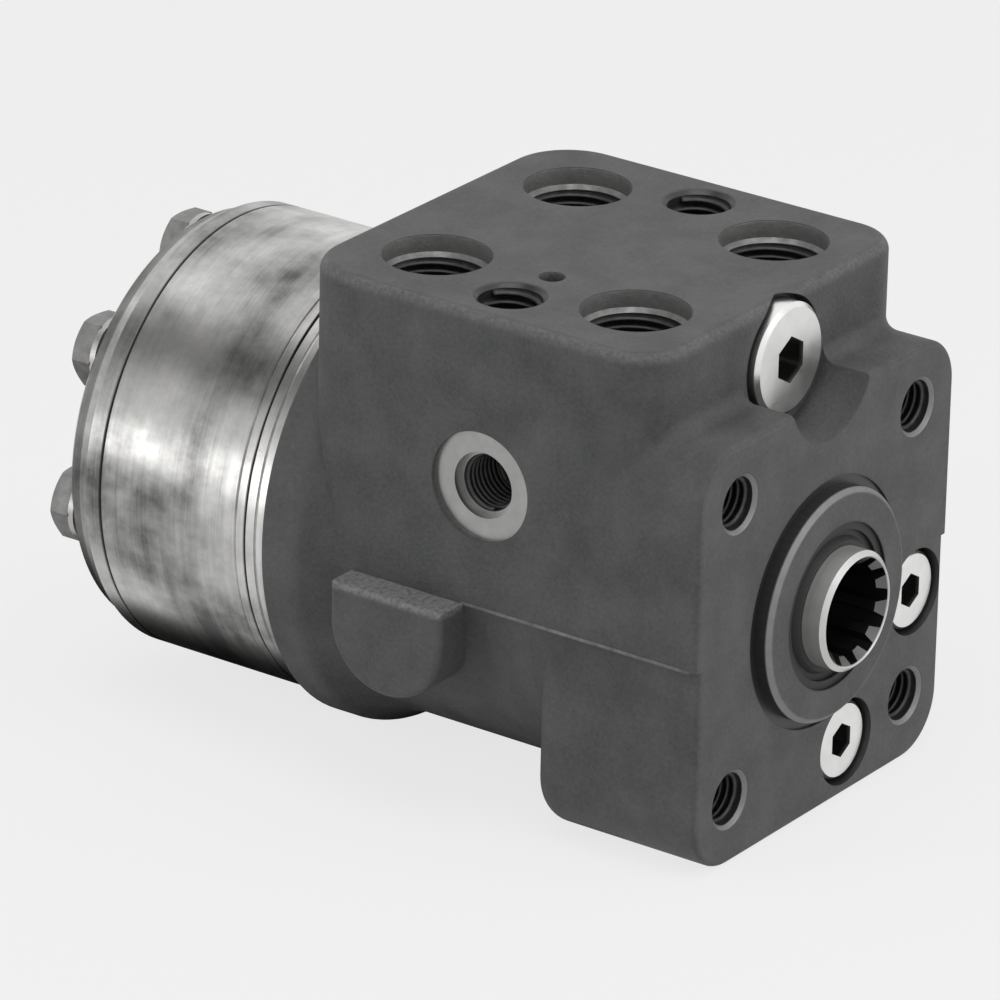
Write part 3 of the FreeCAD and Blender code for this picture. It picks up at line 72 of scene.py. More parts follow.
class HousingLooks(bpy.types.PropertyGroup):
    """Colours and grain of the cast housing"""

    dark: FloatVectorProperty(
        name="Dark grey", description="Darkest grey of the casting", subtype="COLOR",
        default=(0.056, 0.057, 0.058), min=0.0, max=1.0)
    light: FloatVectorProperty(
        name="Light grey", description="Lightest grey of the casting", subtype="COLOR",
        default=(0.124, 0.125, 0.126), min=0.0, max=1.0)
    machined: FloatVectorProperty(
        name="Cut metal", description="Colour of bright cut iron", subtype="COLOR",
        default=(0.40, 0.40, 0.39), min=0.0, max=1.0)
    # This colour is oil together with painted shade in the ports, holes, counterbores and grooves
    oil_and_shade: FloatVectorProperty(
        name="Oiled metal", description="Colour of cut iron in ports and holes", subtype="COLOR",
        default=(0.05, 0.05, 0.05), min=0.0, max=1.0)
    grain: FloatProperty(
        name="Grain", description="Size of the casting's sandy grain", default=0.9 * MM,
        min=0.1 * MM, max=5 * MM, unit="LENGTH", precision=5)
    relief: FloatProperty(
        name="Grain depth", description="Depth of the casting's grain", default=0.12 * MM,
        min=0.0, max=1 * MM, unit="LENGTH", precision=5)
    seam_width: FloatProperty(
        name="Seam width", description="Width of the mould's parting line", default=0.7 * MM,
        min=0.1 * MM, max=3 * MM, unit="LENGTH", precision=5)
    seam_dark: FloatVectorProperty(
        name="Dark seam", description="Parting line where it still has its skin", subtype="COLOR",
        default=(0.10, 0.10, 0.10), min=0.0, max=1.0)
    seam_light: FloatVectorProperty(
        name="Light seam", description="Parting line where it is rubbed", subtype="COLOR",
        default=(0.27, 0.27, 0.27), min=0.0, max=1.0)


class DrumLooks(bpy.types.PropertyGroup):
    """Colours of the turned steel drum"""

    bright: FloatVectorProperty(
        name="Bright steel", description="Cleanest steel of the drum", subtype="COLOR",
        default=(0.66, 0.655, 0.64), min=0.0, max=1.0)
    dull: FloatVectorProperty(
        name="Dull steel", description="Oily, handled steel of the drum", subtype="COLOR",
        default=(0.11, 0.11, 0.108), min=0.0, max=1.0)
    line_pitch: FloatProperty(
        name="Turning pitch", description="Spacing of the fine turned lines", default=0.35 * MM,
        min=0.05 * MM, max=2 * MM, unit="LENGTH", precision=5)


class FittingLooks(bpy.types.PropertyGroup):
    """Colours of the screws, plugs, spool and seals"""

    screw_dark: FloatVectorProperty(
        name="Oily screw", description="Oily steel of the cover screws", subtype="COLOR",
        default=(0.08, 0.08, 0.08), min=0.0, max=1.0)
    screw_light: FloatVectorProperty(
        name="Worn screw", description="Worn steel of the cover screws", subtype="COLOR",
        default=(0.36, 0.355, 0.35), min=0.0, max=1.0)
    zinc_dull: FloatVectorProperty(
        name="Dull zinc", description="Clouded zinc of the plugs", subtype="COLOR",
        default=(0.68, 0.68, 0.66), min=0.0, max=1.0)
    zinc_bright: FloatVectorProperty(
        name="Bright zinc", description="Clean zinc of the plugs", subtype="COLOR",
        default=(0.94, 0.94, 0.92), min=0.0, max=1.0)
    spool_dull: FloatVectorProperty(
        name="Filmed spool", description="Ground steel under a film of oil", subtype="COLOR",
        default=(0.50, 0.50, 0.49), min=0.0, max=1.0)
    spool_bright: FloatVectorProperty(
        name="Clean spool", description="Clean ground steel", subtype="COLOR",
        default=(0.82, 0.82, 0.80), min=0.0, max=1.0)
    rubber: FloatVectorProperty(
        name="Rubber", description="Black rubber of the seals", subtype="COLOR",
        default=(0.012, 0.012, 0.012), min=0.0, max=1.0)
    rubber_dust: FloatVectorProperty(
        name="Rubber dust", description="Dusty rubber of the seals", subtype="COLOR",
        default=(0.035, 0.034, 0.033), min=0.0, max=1.0)


class ThreadSizes(bpy.types.PropertyGroup):
    """Pitches and form of the tapped holes"""

    port_pitch: FloatProperty(
        name="Port pitch", description="Thread pitch of the four hose ports", default=1.5875 * MM,
        min=0.5 * MM, max=4 * MM, unit="LENGTH", precision=5)
    side_pitch: FloatProperty(
        name="Side port pitch", description="Thread pitch of the side port", default=1.27 * MM,
        min=0.5 * MM, max=4 * MM, unit="LENGTH", precision=5)
    block_pitch: FloatProperty(
        name="Block screw pitch", description="Thread pitch of the two holes between the ports",
        default=1.75 * MM, min=0.5 * MM, max=4 * MM, unit="LENGTH", precision=5)
    column_pitch: FloatProperty(
        name="Column screw pitch", description="Thread pitch of the four holes in the mounting face",
        default=1.5 * MM, min=0.5 * MM, max=4 * MM, unit="LENGTH", precision=5)
    depth_share: FloatProperty(
        name="Depth", description="Height of a ridge as a share of its pitch", default=0.54,
        min=0.2, max=0.8, subtype="FACTOR")
    steps: IntProperty(
        name="Steps", description="Steps in one turn of a thread", default=36, min=12, max=96)


class StudioSettings(bpy.types.PropertyGroup):
    """Floor, lamps and camera"""

    azimuth: FloatProperty(
        name="Azimuth", description="Camera's angle round the unit", default=math.radians(-54.895),
        subtype="ANGLE")
    elevation: FloatProperty(
        name="Elevation", description="Camera's angle above the horizon", default=math.radians(23.077),
        subtype="ANGLE")
    roll: FloatProperty(
        name="Roll", description="Camera's turn about its own axis", default=math.radians(1.302),
        subtype="ANGLE")
    distance: FloatProperty(
        name="Distance", description="From the camera to the centre of the mounting face",
        default=1489.016 * MM, min=0.3, max=5.0, unit="LENGTH")
    lens: FloatProperty(
        name="Lens", description="Focal length in millimetres", default=293.122, min=20.0, max=800.0)
    floor_grey: FloatProperty(
        name="Floor", description="Lightness of the floor", default=0.70, min=0.0, max=1.0,
        subtype="FACTOR")
    room_light: FloatProperty(
        name="Room light", description="Strength of the even light from all round", default=0.38,
        min=0.0, max=2.0)


class SteeringUnitSettings(bpy.types.PropertyGroup):
    """All settings of the steering unit"""

    housing: PointerProperty(type=HousingLooks)
    drum: PointerProperty(type=DrumLooks)
    fittings: PointerProperty(type=FittingLooks)
    threads: PointerProperty(type=ThreadSizes)
    studio: PointerProperty(type=StudioSettings)


class Value:
    """A number that varies over a surface; Python's operators on it add Math nodes."""

    def __init__(self, nodes, socket):
        self.nodes = nodes
        self.socket = socket

    def __add__(self, other):
        return self.nodes.math("ADD", self, other)

    def __sub__(self, other):
        return self.nodes.math("SUBTRACT", self, other)

    def __rsub__(self, other):
        return self.nodes.math("SUBTRACT", other, self)

    def __mul__(self, other):
        return self.nodes.math("MULTIPLY", self, other)

    def __pow__(self, other):
        return self.nodes.math("POWER", self, other)

    def __abs__(self):
        return self.nodes.math("ABSOLUTE", self)

    __radd__ = __add__
    __rmul__ = __mul__

    def larger(self, other):
        """The larger of the two."""
        return self.nodes.math("MAXIMUM", self, other)

    def swing(self, share):
        """How far the value is from its middle, which is 0.5, times a share."""
        return (self - 0.5) * share

    def rises(self, start, end):
        """0 before start and 1 past end, smoothly; start may be the larger one."""
        settings = {"interpolation_type": "SMOOTHSTEP"}
        sockets = {"Value": self, "From Min": start, "From Max": end}
        ramp = self.nodes.add("ShaderNodeMapRange", settings, sockets)
        return Value(self.nodes, ramp.outputs["Result"])

    def between(self, start, end, soft):
        """1 from start to end, and 0 outside them by more than soft."""
        return self.rises(start - soft, start) * self.rises(end + soft, end)


class Nodes:
    """A node tree that is filled by one method."""

    def __init__(self, tree):
        self.tree = tree
        tree.nodes.clear()

    def add(self, kind, settings=None, sockets=None):
        """New node of a type, with its settings and the values or links of its sockets."""
        node = self.tree.nodes.new(kind)
        for name, setting in (settings or {}).items():
            setattr(node, name, setting)
        for name, value in (sockets or {}).items():
            self.feed(node.inputs[name], value)
        return node

    def feed(self, socket, value):
        """Links a socket to a Value or another socket, or sets its own value."""
        source = value.socket if isinstance(value, Value) else value
        if isinstance(source, bpy.types.NodeSocket):
            self.tree.links.new(source, socket)
        else:
            socket.default_value = source

    def math(self, operation, *terms):
        """Result of a Math node."""
        node = self.add("ShaderNodeMath", {"operation": operation}, dict(enumerate(terms)))
        return Value(self, node.outputs["Value"])


class Finish(Nodes):
    """One material, whose patterns lie on the piece's own coordinates in metres."""

    # Places of the colour sockets on a Mix node, because its other sockets have the same names
    COLOUR_A, COLOUR_B, COLOUR_RESULT = 6, 7, 2

    def __init__(self, name, metallic=0.0, roughness=0.5):
        self.material = bpy.data.materials.new(name)
        self.material.use_nodes = True
        super().__init__(self.material.node_tree)
        constants = {"Metallic": metallic, "Roughness": roughness}
        self.shader = self.add("ShaderNodeBsdfPrincipled", {}, constants)
        self.add("ShaderNodeOutputMaterial", {}, {"Surface": self.shader.outputs["BSDF"]})
        self.place = self.add("ShaderNodeTexCoord").outputs["Object"]
        parts = self.add("ShaderNodeSeparateXYZ", {}, {"Vector": self.place})
        self.x, self.y, self.z = (Value(self, socket) for socket in parts.outputs)

    def set(self, **sockets):
        """Feeds the shader's sockets, with _ for a space in a socket's name."""
        for name, value in sockets.items():
            self.feed(self.shader.inputs[name.replace("_", " ")], value)

    def stretched(self, scale):
        """Object coordinates times a scale along each axis."""
        sockets = {"Vector": self.place, "Scale": scale}
        return self.add("ShaderNodeMapping", {}, sockets).outputs["Vector"]

    def noise(self, size, detail=4.0, roughness=0.55, scale=None):
        """Cloudy pattern with blotches of a size; a small scale along an axis draws them out there."""
        place = self.stretched(scale) if scale else self.place
        sockets = {"Vector": place, "Scale": 1 / size, "Detail": detail, "Roughness": roughness}
        return Value(self, self.add("ShaderNodeTexNoise", {}, sockets).outputs[0])

    def rings(self, pitch):
        """Fine turned rings round the unit's axis."""
        radius = self.from_axis(self.x, self.z, UNIT_AXIS)
        place = self.add("ShaderNodeCombineXYZ", {}, {"X": radius}).outputs["Vector"]
        sockets = {"Vector": place, "Scale": 1 / pitch, "Detail": 3.0}
        return Value(self, self.add("ShaderNodeTexNoise", {}, sockets).outputs[0])

    def cells(self, size):
        """Pattern of grains of about the given size."""
        sockets = {"Vector": self.place, "Scale": 1 / size}
        return Value(self, self.add("ShaderNodeTexVoronoi", {}, sockets).outputs["Distance"])

    def blend(self, factor, low, high):
        """Colour that goes from low to high with the factor."""
        sockets = {0: factor, self.COLOUR_A: paint(low), self.COLOUR_B: paint(high)}
        return self.add("ShaderNodeMix", {"data_type": "RGBA"}, sockets).outputs[self.COLOUR_RESULT]

    def bump(self, height, distance):
        """Relief of the surface, whose height of 1 is the distance."""
        sockets = {"Height": height, "Distance": distance, "Strength": 1.0}
        self.set(Normal=self.add("ShaderNodeBump", {}, sockets).outputs["Normal"])

    def from_axis(self, first, second, centre):
        """Distance from a line, given the two coordinates across it and its place in them."""
        return ((first - centre[0]) ** 2 + (second - centre[1]) ** 2) ** 0.5

    def disc(self, first, second, centre, radius):
        """1 inside a radius round such a line, and 0 outside."""
        return self.from_axis(first, second, centre).rises(radius, radius - SOFT)


def paint(colour):
    """A colour for a socket: three numbers get an alpha of 1, and a link stays a link."""
    return colour if isinstance(colour, bpy.types.NodeSocket) else (*colour[:3], 1.0)


def shaded(colour, share):
    """The same colour, darker or lighter."""
    return [share * part for part in colour]


def dress(finish, *names):
    """Gives CAD nodes their material."""
    for name in names:
        materials = frame["nodes"][name].data.materials
        materials.clear()
        materials.append(finish.material)


def piece(name, bm, finish, body="unit"):
    """Turns a bmesh into a finished piece that rides on a body."""
    bmesh.ops.recalc_face_normals(bm, faces=bm.faces)
    mesh = bpy.data.meshes.new(name)
    bm.to_mesh(mesh)
    bm.free()
    mesh.materials.append(finish.material)
    mesh.shade_smooth()
    obj = bpy.data.objects.new(name, mesh)
    bpy.context.scene.collection.objects.link(obj)
    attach(obj, body)
    return obj


# Housing: places that its finish follows

PORTS = ("front_left_port", "front_right_port", "rear_left_port", "rear_right_port")
PORT_FACE = MOUNTS["port_face"]["pos_m"][2]
PORT_ENTRY_R = 10.5 * MM
PORT_SEAT_DEPTH = 4.3 * MM
BLOCK_ROOT = 20.0 * MM
BLOCK_HOLE_R = MOUNTS["block_screws"]["dims"]["hole_r_mm"] * MM
COLUMN_HOLE_R = MOUNTS["column_bolts"]["dims"]["hole_r_mm"] * MM
COLUMN_WALL_START = MOUNTS["column_bolts"]["pos_m"][1]
FIRST_COLUMN_SCREW_DEGREES = 45
CHAMFER = 1.0 * MM
SPOT_FACE_R = 10.7 * MM
SPOT_FACE_X = -40.0 * MM
FLANGE_REAR = 30.0 * MM
HOUSING_REAR = 95.0 * MM
BORE_REACH = 24.3 * MM
BORE_SHINE = (1.0 * MM, 2.0 * MM)
SPIGOT_R = MOUNTS["pilot_spigot"]["dims"]["r_mm"] * MM
SPIGOT_FRONT = -2.85 * MM
SEAL_RECESS_R = 16.3 * MM
RELIEF_AXIS = (0.0, 45.5 * MM)
RELIEF_COUNTERBORE_R = 11.9 * MM
RELIEF_COUNTERBORE_FRONT = 11.1 * MM
RELIEF_COUNTERBORE_REAR = 14.5 * MM
SHOCK_AXES = ((31.0 * MM, -8.6 * MM), (9.2 * MM, -31.4 * MM))
SHOCK_COUNTERBORE_R = 8.6 * MM
SHOCK_COUNTERBORE_REACH = 6.0 * MM

# Side pads, and the strips along their upper edges and the block's upper edges that get a painted
# highlight
HALF_WIDTH = 41.5 * MM
PAD_ROOT = 41.7 * MM
PAD_FRONT = 51.5 * MM
PAD_REAR = 76.7 * MM
PAD_PAINTED_HIGHLIGHT = (-1.6 * MM, -0.2 * MM)
BLOCK_PAINTED_HIGHLIGHT = (PORT_FACE - 2.2 * MM, PORT_FACE - 0.6 * MM)

# Mould seam between the flange's front edge and the pads
SEAM_START = 1.6 * MM
SEAM_END = 52.0 * MM
SEAM_PROUD = 0.25 * MM
SEAM_ROUNDING = 0.45
SEAM_WEAR_SIZE = 3.5 * MM
SEAM_WEAR = 2.2

# Bare metal: how bright the spigot's lip and the column holes' chamfers are, and the port seats' stains
LIP_SHINE = 0.6
CHAMFER_SHINE = 0.6
SEAT_STAIN_SIZE = 3 * MM
SEAT_LEAST_SHINE = 0.05

# Cast skin: size of each pattern as a share of the grain's, and how much it tells in shade and relief
MOTTLE_SIZE, SAND_SIZE, CUT_MARK_SIZE = 12, 0.7, 3
GRAIN_SHADE, MOTTLE_SHADE, SAND_SHADE, SAND_MIDDLE = 1.2, 1.5, 0.25, 0.4
GRAIN_RELIEF, MOTTLE_RELIEF, SAND_RELIEF = 0.7, 0.8, 0.5
SKIN_SHADE = 0.42
MILLED_SHADE = 0.25
MILLED_SMOOTHNESS = 0.75
# Painted highlight on the upper edges: its share on the block's edges, the least grain that shows it,
# its share, and the shade of cut metal it is painted with
BLOCK_HIGHLIGHT_SHARE = 0.35
HIGHLIGHT_LEAST_GRAIN, HIGHLIGHT_SHARE, HIGHLIGHT_SHADE = 0.25, 1.8, 0.9
CUT_SHADE = 0.7
BARE_METALLIC, OILED_METALLIC = 0.9, 0.4
SKIN_ROUGHNESS, GRAIN_ROUGHNESS, CUT_SMOOTHNESS = 0.62, 0.16, 0.34


def port_axes():
    """Places of the hose ports in X and Y."""
    return [MOUNTS[name]["pos_m"][:2] for name in PORTS]


def column_screw_places():
    """Places of the column screws in X and Z."""
    dims = MOUNTS["column_bolts"]["dims"]
    radius = dims["pcd_mm"] / 2 * MM
    step = 360 / dims["count"]
    turns = [math.radians(FIRST_COLUMN_SCREW_DEGREES + step * k) for k in range(dims["count"])]
    return [(radius * math.cos(turn), radius * math.sin(turn)) for turn in turns]


def block_screw_places():
    """Places of the two screw holes between the ports in X and Y."""
    mount = MOUNTS["block_screws"]
    reach = mount["dims"]["spacing_x_mm"] / 2 * MM
    return [(-reach, mount["pos_m"][1]), (reach, mount["pos_m"][1])]


def bare_metal(finish):
    """1 where the casting is cut to bright metal, and less on cut metal that is dull."""
    x, y, z = finish.x, finish.y, finish.z
    from_bore = finish.from_axis(x, z, UNIT_AXIS)
    bore = from_bore.rises(BORE_REACH, BORE_REACH - SOFT) * y.rises(*BORE_SHINE)
    lip = from_bore.between(SPIGOT_R - CHAMFER, SPIGOT_R + SOFT, SOFT)
    lip = lip * y.between(SPIGOT_FRONT, SPIGOT_FRONT + CHAMFER, SOFT) * LIP_SHINE
    spot = finish.disc(y, z, MOUNTS["side_port"]["pos_m"][1:], SPOT_FACE_R) * x.rises(0.0, SPOT_FACE_X)
    rear = y.rises(HOUSING_REAR - 2 * SOFT, HOUSING_REAR - SOFT)
    mask = bore.larger(lip).larger(spot).larger(rear)
    seat = z.between(PORT_FACE - PORT_SEAT_DEPTH, PORT_FACE - 2 * SOFT, SOFT)
    seat = seat * (finish.noise(SEAT_STAIN_SIZE) + SEAT_LEAST_SHINE)
    for centre in port_axes():
        mask = mask.larger(finish.disc(x, y, centre, PORT_ENTRY_R) * seat)
    at_front = y.between(SOFT, COLUMN_WALL_START, SOFT) * CHAMFER_SHINE
    for centre in column_screw_places():
        rim = finish.from_axis(x, z, centre).between(COLUMN_HOLE_R, COLUMN_HOLE_R + CHAMFER, SOFT)
        mask = mask.larger(rim * at_front)
    return mask


def oil_and_shade_mask(finish):
    """1 where the cut metal is dark with oil and with painted shade: threads, screw holes, counterbores
    and grooves.
    """
    x, y, z = finish.x, finish.y, finish.z
    from_bore = finish.from_axis(x, z, UNIT_AXIS)
    groove = from_bore.between(SPIGOT_R, BORE_REACH, SOFT)
    groove = groove * y.between(SPIGOT_FRONT + CHAMFER, CHAMFER / 2, SOFT)
    mask = groove.larger(from_bore.rises(SEAL_RECESS_R, SEAL_RECESS_R - SOFT))
    in_port = z.between(BLOCK_ROOT, PORT_FACE - PORT_SEAT_DEPTH, 2 * SOFT)
    in_block = z.between(BLOCK_ROOT, PORT_FACE - 3 * SOFT, 2 * SOFT)
    in_flange = y.between(COLUMN_WALL_START, FLANGE_REAR, SOFT)
    at_front = y.between(SOFT, SHOCK_COUNTERBORE_REACH, SOFT)
    at_relief = y.between(RELIEF_COUNTERBORE_FRONT, RELIEF_COUNTERBORE_REAR, SOFT)
    holes = [finish.disc(x, y, centre, PORT_ENTRY_R) * in_port for centre in port_axes()]
    holes += [finish.disc(x, y, centre, BLOCK_HOLE_R + CHAMFER) * in_block
              for centre in block_screw_places()]
    holes += [finish.disc(x, z, centre, COLUMN_HOLE_R + CHAMFER) * in_flange
              for centre in column_screw_places()]
    holes += [finish.disc(x, z, centre, SHOCK_COUNTERBORE_R) * at_front for centre in SHOCK_AXES]
    holes.append(finish.disc(x, z, RELIEF_AXIS, RELIEF_COUNTERBORE_R) * at_relief)
    for hole in holes:
        mask = mask.larger(hole)
    return mask


def cast_iron(looks):
    """Dark grey cast iron with a sandy skin, a painted highlight along the upper edges of the pads and
    the block, and cut metal: bright on machined faces, and dark with oil and painted shade in the
    hollows.
    """
    finish = Finish("cast_iron")
    x, y, z = finish.x, finish.y, finish.z
    grain = finish.noise(looks.grain, detail=6.0, roughness=0.65)
    mottle = finish.noise(MOTTLE_SIZE * looks.grain, detail=3.0)
    sand = finish.cells(SAND_SIZE * looks.grain)
    # Cut metal in the holes, counterbores and grooves is dark with oil and with painted shade
    bare, oil_and_shade = bare_metal(finish), oil_and_shade_mask(finish)
    cut = bare.larger(oil_and_shade)
    milled = y.rises(3 * SOFT, SOFT).larger(z.rises(PORT_FACE - 3 * SOFT, PORT_FACE - SOFT))
    # Along the upper edges of the pads and the block the skin gets a painted highlight, lighter where
    # the grain is high
    rubbed = x.rises(-PAD_ROOT, -PAD_ROOT - SOFT).larger(x.rises(PAD_ROOT, PAD_ROOT + SOFT))
    rubbed = rubbed * z.rises(*PAD_PAINTED_HIGHLIGHT) * y.between(PAD_FRONT, PAD_REAR, SOFT)
    rubbed = rubbed.larger(z.rises(*BLOCK_PAINTED_HIGHLIGHT) * (1 - milled) * BLOCK_HIGHLIGHT_SHARE)
    rubbed = rubbed * (grain - HIGHLIGHT_LEAST_GRAIN) * HIGHLIGHT_SHARE
    shade = grain.swing(GRAIN_SHADE) + mottle.swing(MOTTLE_SHADE) + (sand - SAND_MIDDLE) * SAND_SHADE
    skin = finish.blend(shade + SKIN_SHADE + milled * MILLED_SHADE, looks.dark, looks.light)
    skin = finish.blend(rubbed, skin, shaded(looks.machined, HIGHLIGHT_SHADE))
    cut_marks = finish.noise(CUT_MARK_SIZE * looks.grain)
    metal = finish.blend(cut_marks, shaded(looks.machined, CUT_SHADE), looks.machined)
    finish.set(Base_Color=finish.blend(bare, finish.blend(oil_and_shade, skin, looks.oil_and_shade), metal),
               Metallic=bare * BARE_METALLIC + oil_and_shade * OILED_METALLIC,
               Roughness=SKIN_ROUGHNESS + grain * GRAIN_ROUGHNESS - cut * CUT_SMOOTHNESS)
    rough_skin = grain * GRAIN_RELIEF + sand * SAND_RELIEF + mottle * MOTTLE_RELIEF
    finish.bump(rough_skin * (1 - cut) * (1 - milled * MILLED_SMOOTHNESS), looks.relief)
    return finish


def seam_strip(bm, side, start, end, width):
    """Low rounded strip along the housing's side where the two halves of the mould met."""
    middle = (side * (HALF_WIDTH + SEAM_PROUD - width), (start + end) / 2, 0.0)
    matrix = Matrix.Translation(middle) @ Matrix.Diagonal((2 * width, end - start, width, 1.0))
    made = bmesh.ops.create_cube(bm, size=1.0, matrix=matrix)["verts"]
    along = [e for e in bm.edges
             if e.verts[0] in made and abs(e.verts[0].co.y - e.verts[1].co.y) > width]
    bmesh.ops.bevel(bm, geom=along, offset=SEAM_ROUNDING * width, offset_type="OFFSET", segments=3,
                    profile=0.5, affect="EDGES", material=-1)


# Threads: length of the blind ones, how deep a ridge is sunk in the wall, and half its width at its
# root and its crest as a share of the pitch

COLUMN_THREAD_LENGTH = 17.0 * MM
BLOCK_THREAD_LENGTH = 18.5 * MM
RIDGE_SUNK = 0.05 * MM
RIDGE_ROOT = 0.44
RIDGE_CREST = 0.09
GRIME_SIZE = 1.5 * MM
GRIME_DARK, GRIME_LIGHT = 0.4, 1.8
THREAD_ROUGHNESS, GRIME_ROUGHNESS = 0.36, 0.2


def thread_ridge(bm, place, axis, radius, length, pitch, sizes):
    """Right-hand ridge on the wall of a tapped hole; place is the middle of the hole."""
    root, crest = radius + RIDGE_SUNK, radius - sizes.depth_share * pitch
    half_root, half_crest = RIDGE_ROOT * pitch, RIDGE_CREST * pitch
    profile = ((root, -half_root), (crest, -half_crest), (crest, half_crest), (root, half_root))
    start = -length / 2 + half_root
    verts = [bm.verts.new((r, 0.0, start + rise)) for r, rise in profile]
    face = bm.faces.new(verts)
    turns = (length - 2 * half_root) / pitch
    steps = max(round(turns * sizes.steps), 1)
    before = set(bm.verts) - set(verts)
    bmesh.ops.spin(bm, geom=verts + list(face.edges) + [face], cent=(0, 0, 0), axis=(0, 0, 1),
                   dvec=(0, 0, turns * pitch / steps), angle=turns * math.tau, steps=steps,
                   use_duplicate=False)
    made = [v for v in bm.verts if v not in before]
    turn = Vector(axis).to_track_quat("Z", "Y").to_matrix().to_4x4()
    bmesh.ops.transform(bm, matrix=Matrix.Translation(place) @ turn, verts=made)


def thread_finish(name):
    """Cut threads, dark with oil and with painted shade of their holes."""
    oil_and_shade = bpy.context.scene.steering_unit.housing.oil_and_shade
    finish = Finish(name, metallic=0.6)
    grime = finish.noise(GRIME_SIZE)
    finish.set(Base_Color=finish.blend(grime, shaded(oil_and_shade, GRIME_DARK), shaded(oil_and_shade, GRIME_LIGHT)),
               Roughness=THREAD_ROUGHNESS + grime * GRIME_ROUGHNESS)
    return finish


# Drum, made of the distributor plate, the gear ring and the end cover

RING_FRONT = 100.2 * MM
COVER_FRONT = 134.2 * MM
COVER_BEVEL_START = 140.2 * MM
COVER_REAR = 143.2 * MM
COVER_BEVEL_END = COVER_REAR - 0.3 * MM
BEVEL_SOFT = 0.2 * MM

# Dark joints between the drum's parts, each from its faint rim to its full dark
COVER_JOINT = (0.5 * MM, 0.1 * MM)
RING_JOINT = (0.4 * MM, 0.1 * MM)
JOINT_SHADE = 0.25
# How strongly the cover's rear bevel is darkened towards the joints' colour, a painted shade
BEVEL_PAINTED_SHADE = 0.55

# Patterns of the turned steel: how they are drawn out, their size, or pitch in turned lines, and how
# much each tells
LINES_DRAWN_OUT = (0.02, 1.0, 0.02)
BANDS_DRAWN_OUT = (0.03, 1.0, 0.03)
STREAKS_DRAWN_OUT = (0.5, 0.25, 1.0)
BAND_PITCH, RING_PITCH = 9, 2
SMUDGE_SIZE, STAIN_SIZE, STREAK_SIZE = 26 * MM, 4 * MM, 5 * MM
LINE_SHADE, BAND_SHADE, RING_SHADE = 0.25, 0.5, 0.8
SMUDGE_SHADE, STAIN_SHADE, STREAK_SHADE = 2.6, 0.7, 0.4
REAR_FACE_CALM = 0.75
DRUM_ROUGHNESS, CLEAN_SMOOTHNESS, SMUDGE_ROUGHNESS = 0.34, 0.12, 0.08
TURNED_RELIEF, STREAK_RELIEF, DRUM_RELIEF_DEPTH = 0.4, 0.3, 0.02 * MM


def turned_steel(looks):
    """Turned and handled steel: fine lines round the drum, smudges, darker seams, and painted shade on
    the cover's rear bevel.
    """
    finish = Finish("turned_steel", metallic=1.0)
    y = finish.y
    lines = finish.noise(looks.line_pitch, detail=2.0, scale=LINES_DRAWN_OUT)
    bands = finish.noise(BAND_PITCH * looks.line_pitch, detail=3.0, scale=BANDS_DRAWN_OUT)
    rings = finish.rings(RING_PITCH * looks.line_pitch)
    smudges = finish.noise(SMUDGE_SIZE, detail=2.5, roughness=0.5)
    stains = finish.noise(STAIN_SIZE, detail=6.0, roughness=0.65)
    streaks = finish.noise(STREAK_SIZE, detail=4.0, scale=STREAKS_DRAWN_OUT)
    rear_face = y.rises(COVER_REAR - 2 * SOFT, COVER_REAR - SOFT)
    turned = (lines.swing(LINE_SHADE) + bands.swing(BAND_SHADE)) * (1 - rear_face)
    turned = turned + (rings - 0.5) * rear_face * RING_SHADE
    stained = smudges.swing(SMUDGE_SHADE) * (1 - rear_face * REAR_FACE_CALM)
    stained = stained + stains.swing(STAIN_SHADE) + streaks.swing(STREAK_SHADE)
    clean = stained + turned + 0.5
    joint = abs(y - COVER_FRONT).rises(*COVER_JOINT).larger(abs(y - RING_FRONT).rises(*RING_JOINT))
    # The cover's rear bevel is darkened, a painted shade
    bevel = y.between(COVER_BEVEL_START, COVER_BEVEL_END, BEVEL_SOFT)
    colour = finish.blend(clean, looks.dull, looks.bright)
    colour = finish.blend(joint.larger(bevel * BEVEL_PAINTED_SHADE), colour, shaded(looks.dull, JOINT_SHADE))
    finish.set(Base_Color=colour,
               Roughness=DRUM_ROUGHNESS - clean * CLEAN_SMOOTHNESS + smudges * SMUDGE_ROUGHNESS)
    relief = lines * TURNED_RELIEF + bands * TURNED_RELIEF + streaks * STREAK_RELIEF
    finish.bump(relief, DRUM_RELIEF_DEPTH)
    return finish


# Screws, plugs, spool and seals

NECK_FRONT = -7.35 * MM
SOCKET_R = 10.6 * MM
SOCKET_DEPTHS = (NECK_FRONT + SOFT, NECK_FRONT + 4 * SOFT)

# Hexagon sockets of the plugs: the radii and the depths at which their painted shade starts and is full
RELIEF_SOCKET_RADII, RELIEF_SOCKET_DEPTHS = (5.0 * MM, 4.2 * MM), (9.4 * MM, 10.4 * MM)
SHOCK_SOCKET_RADII, SHOCK_SOCKET_DEPTHS = (3.9 * MM, 3.3 * MM), (1.1 * MM, 2.0 * MM)
# Colour and strength of the painted shade in the plugs' sockets
PLUG_SOCKET_SHADE_COLOUR, PLUG_SOCKET_SHADE = (0.05, 0.05, 0.05), 0.85
# Colour and strength of the painted shade in the spool's splined socket
SPOOL_SOCKET_SHADE_COLOUR, SPOOL_SOCKET_SHADE = (0.07, 0.07, 0.07), 0.9

# Metalness of the spool outside its socket, and what it gains inside
SPOOL_METALLIC, SPOOL_SOCKET_METALLIC = 0.6, 0.4

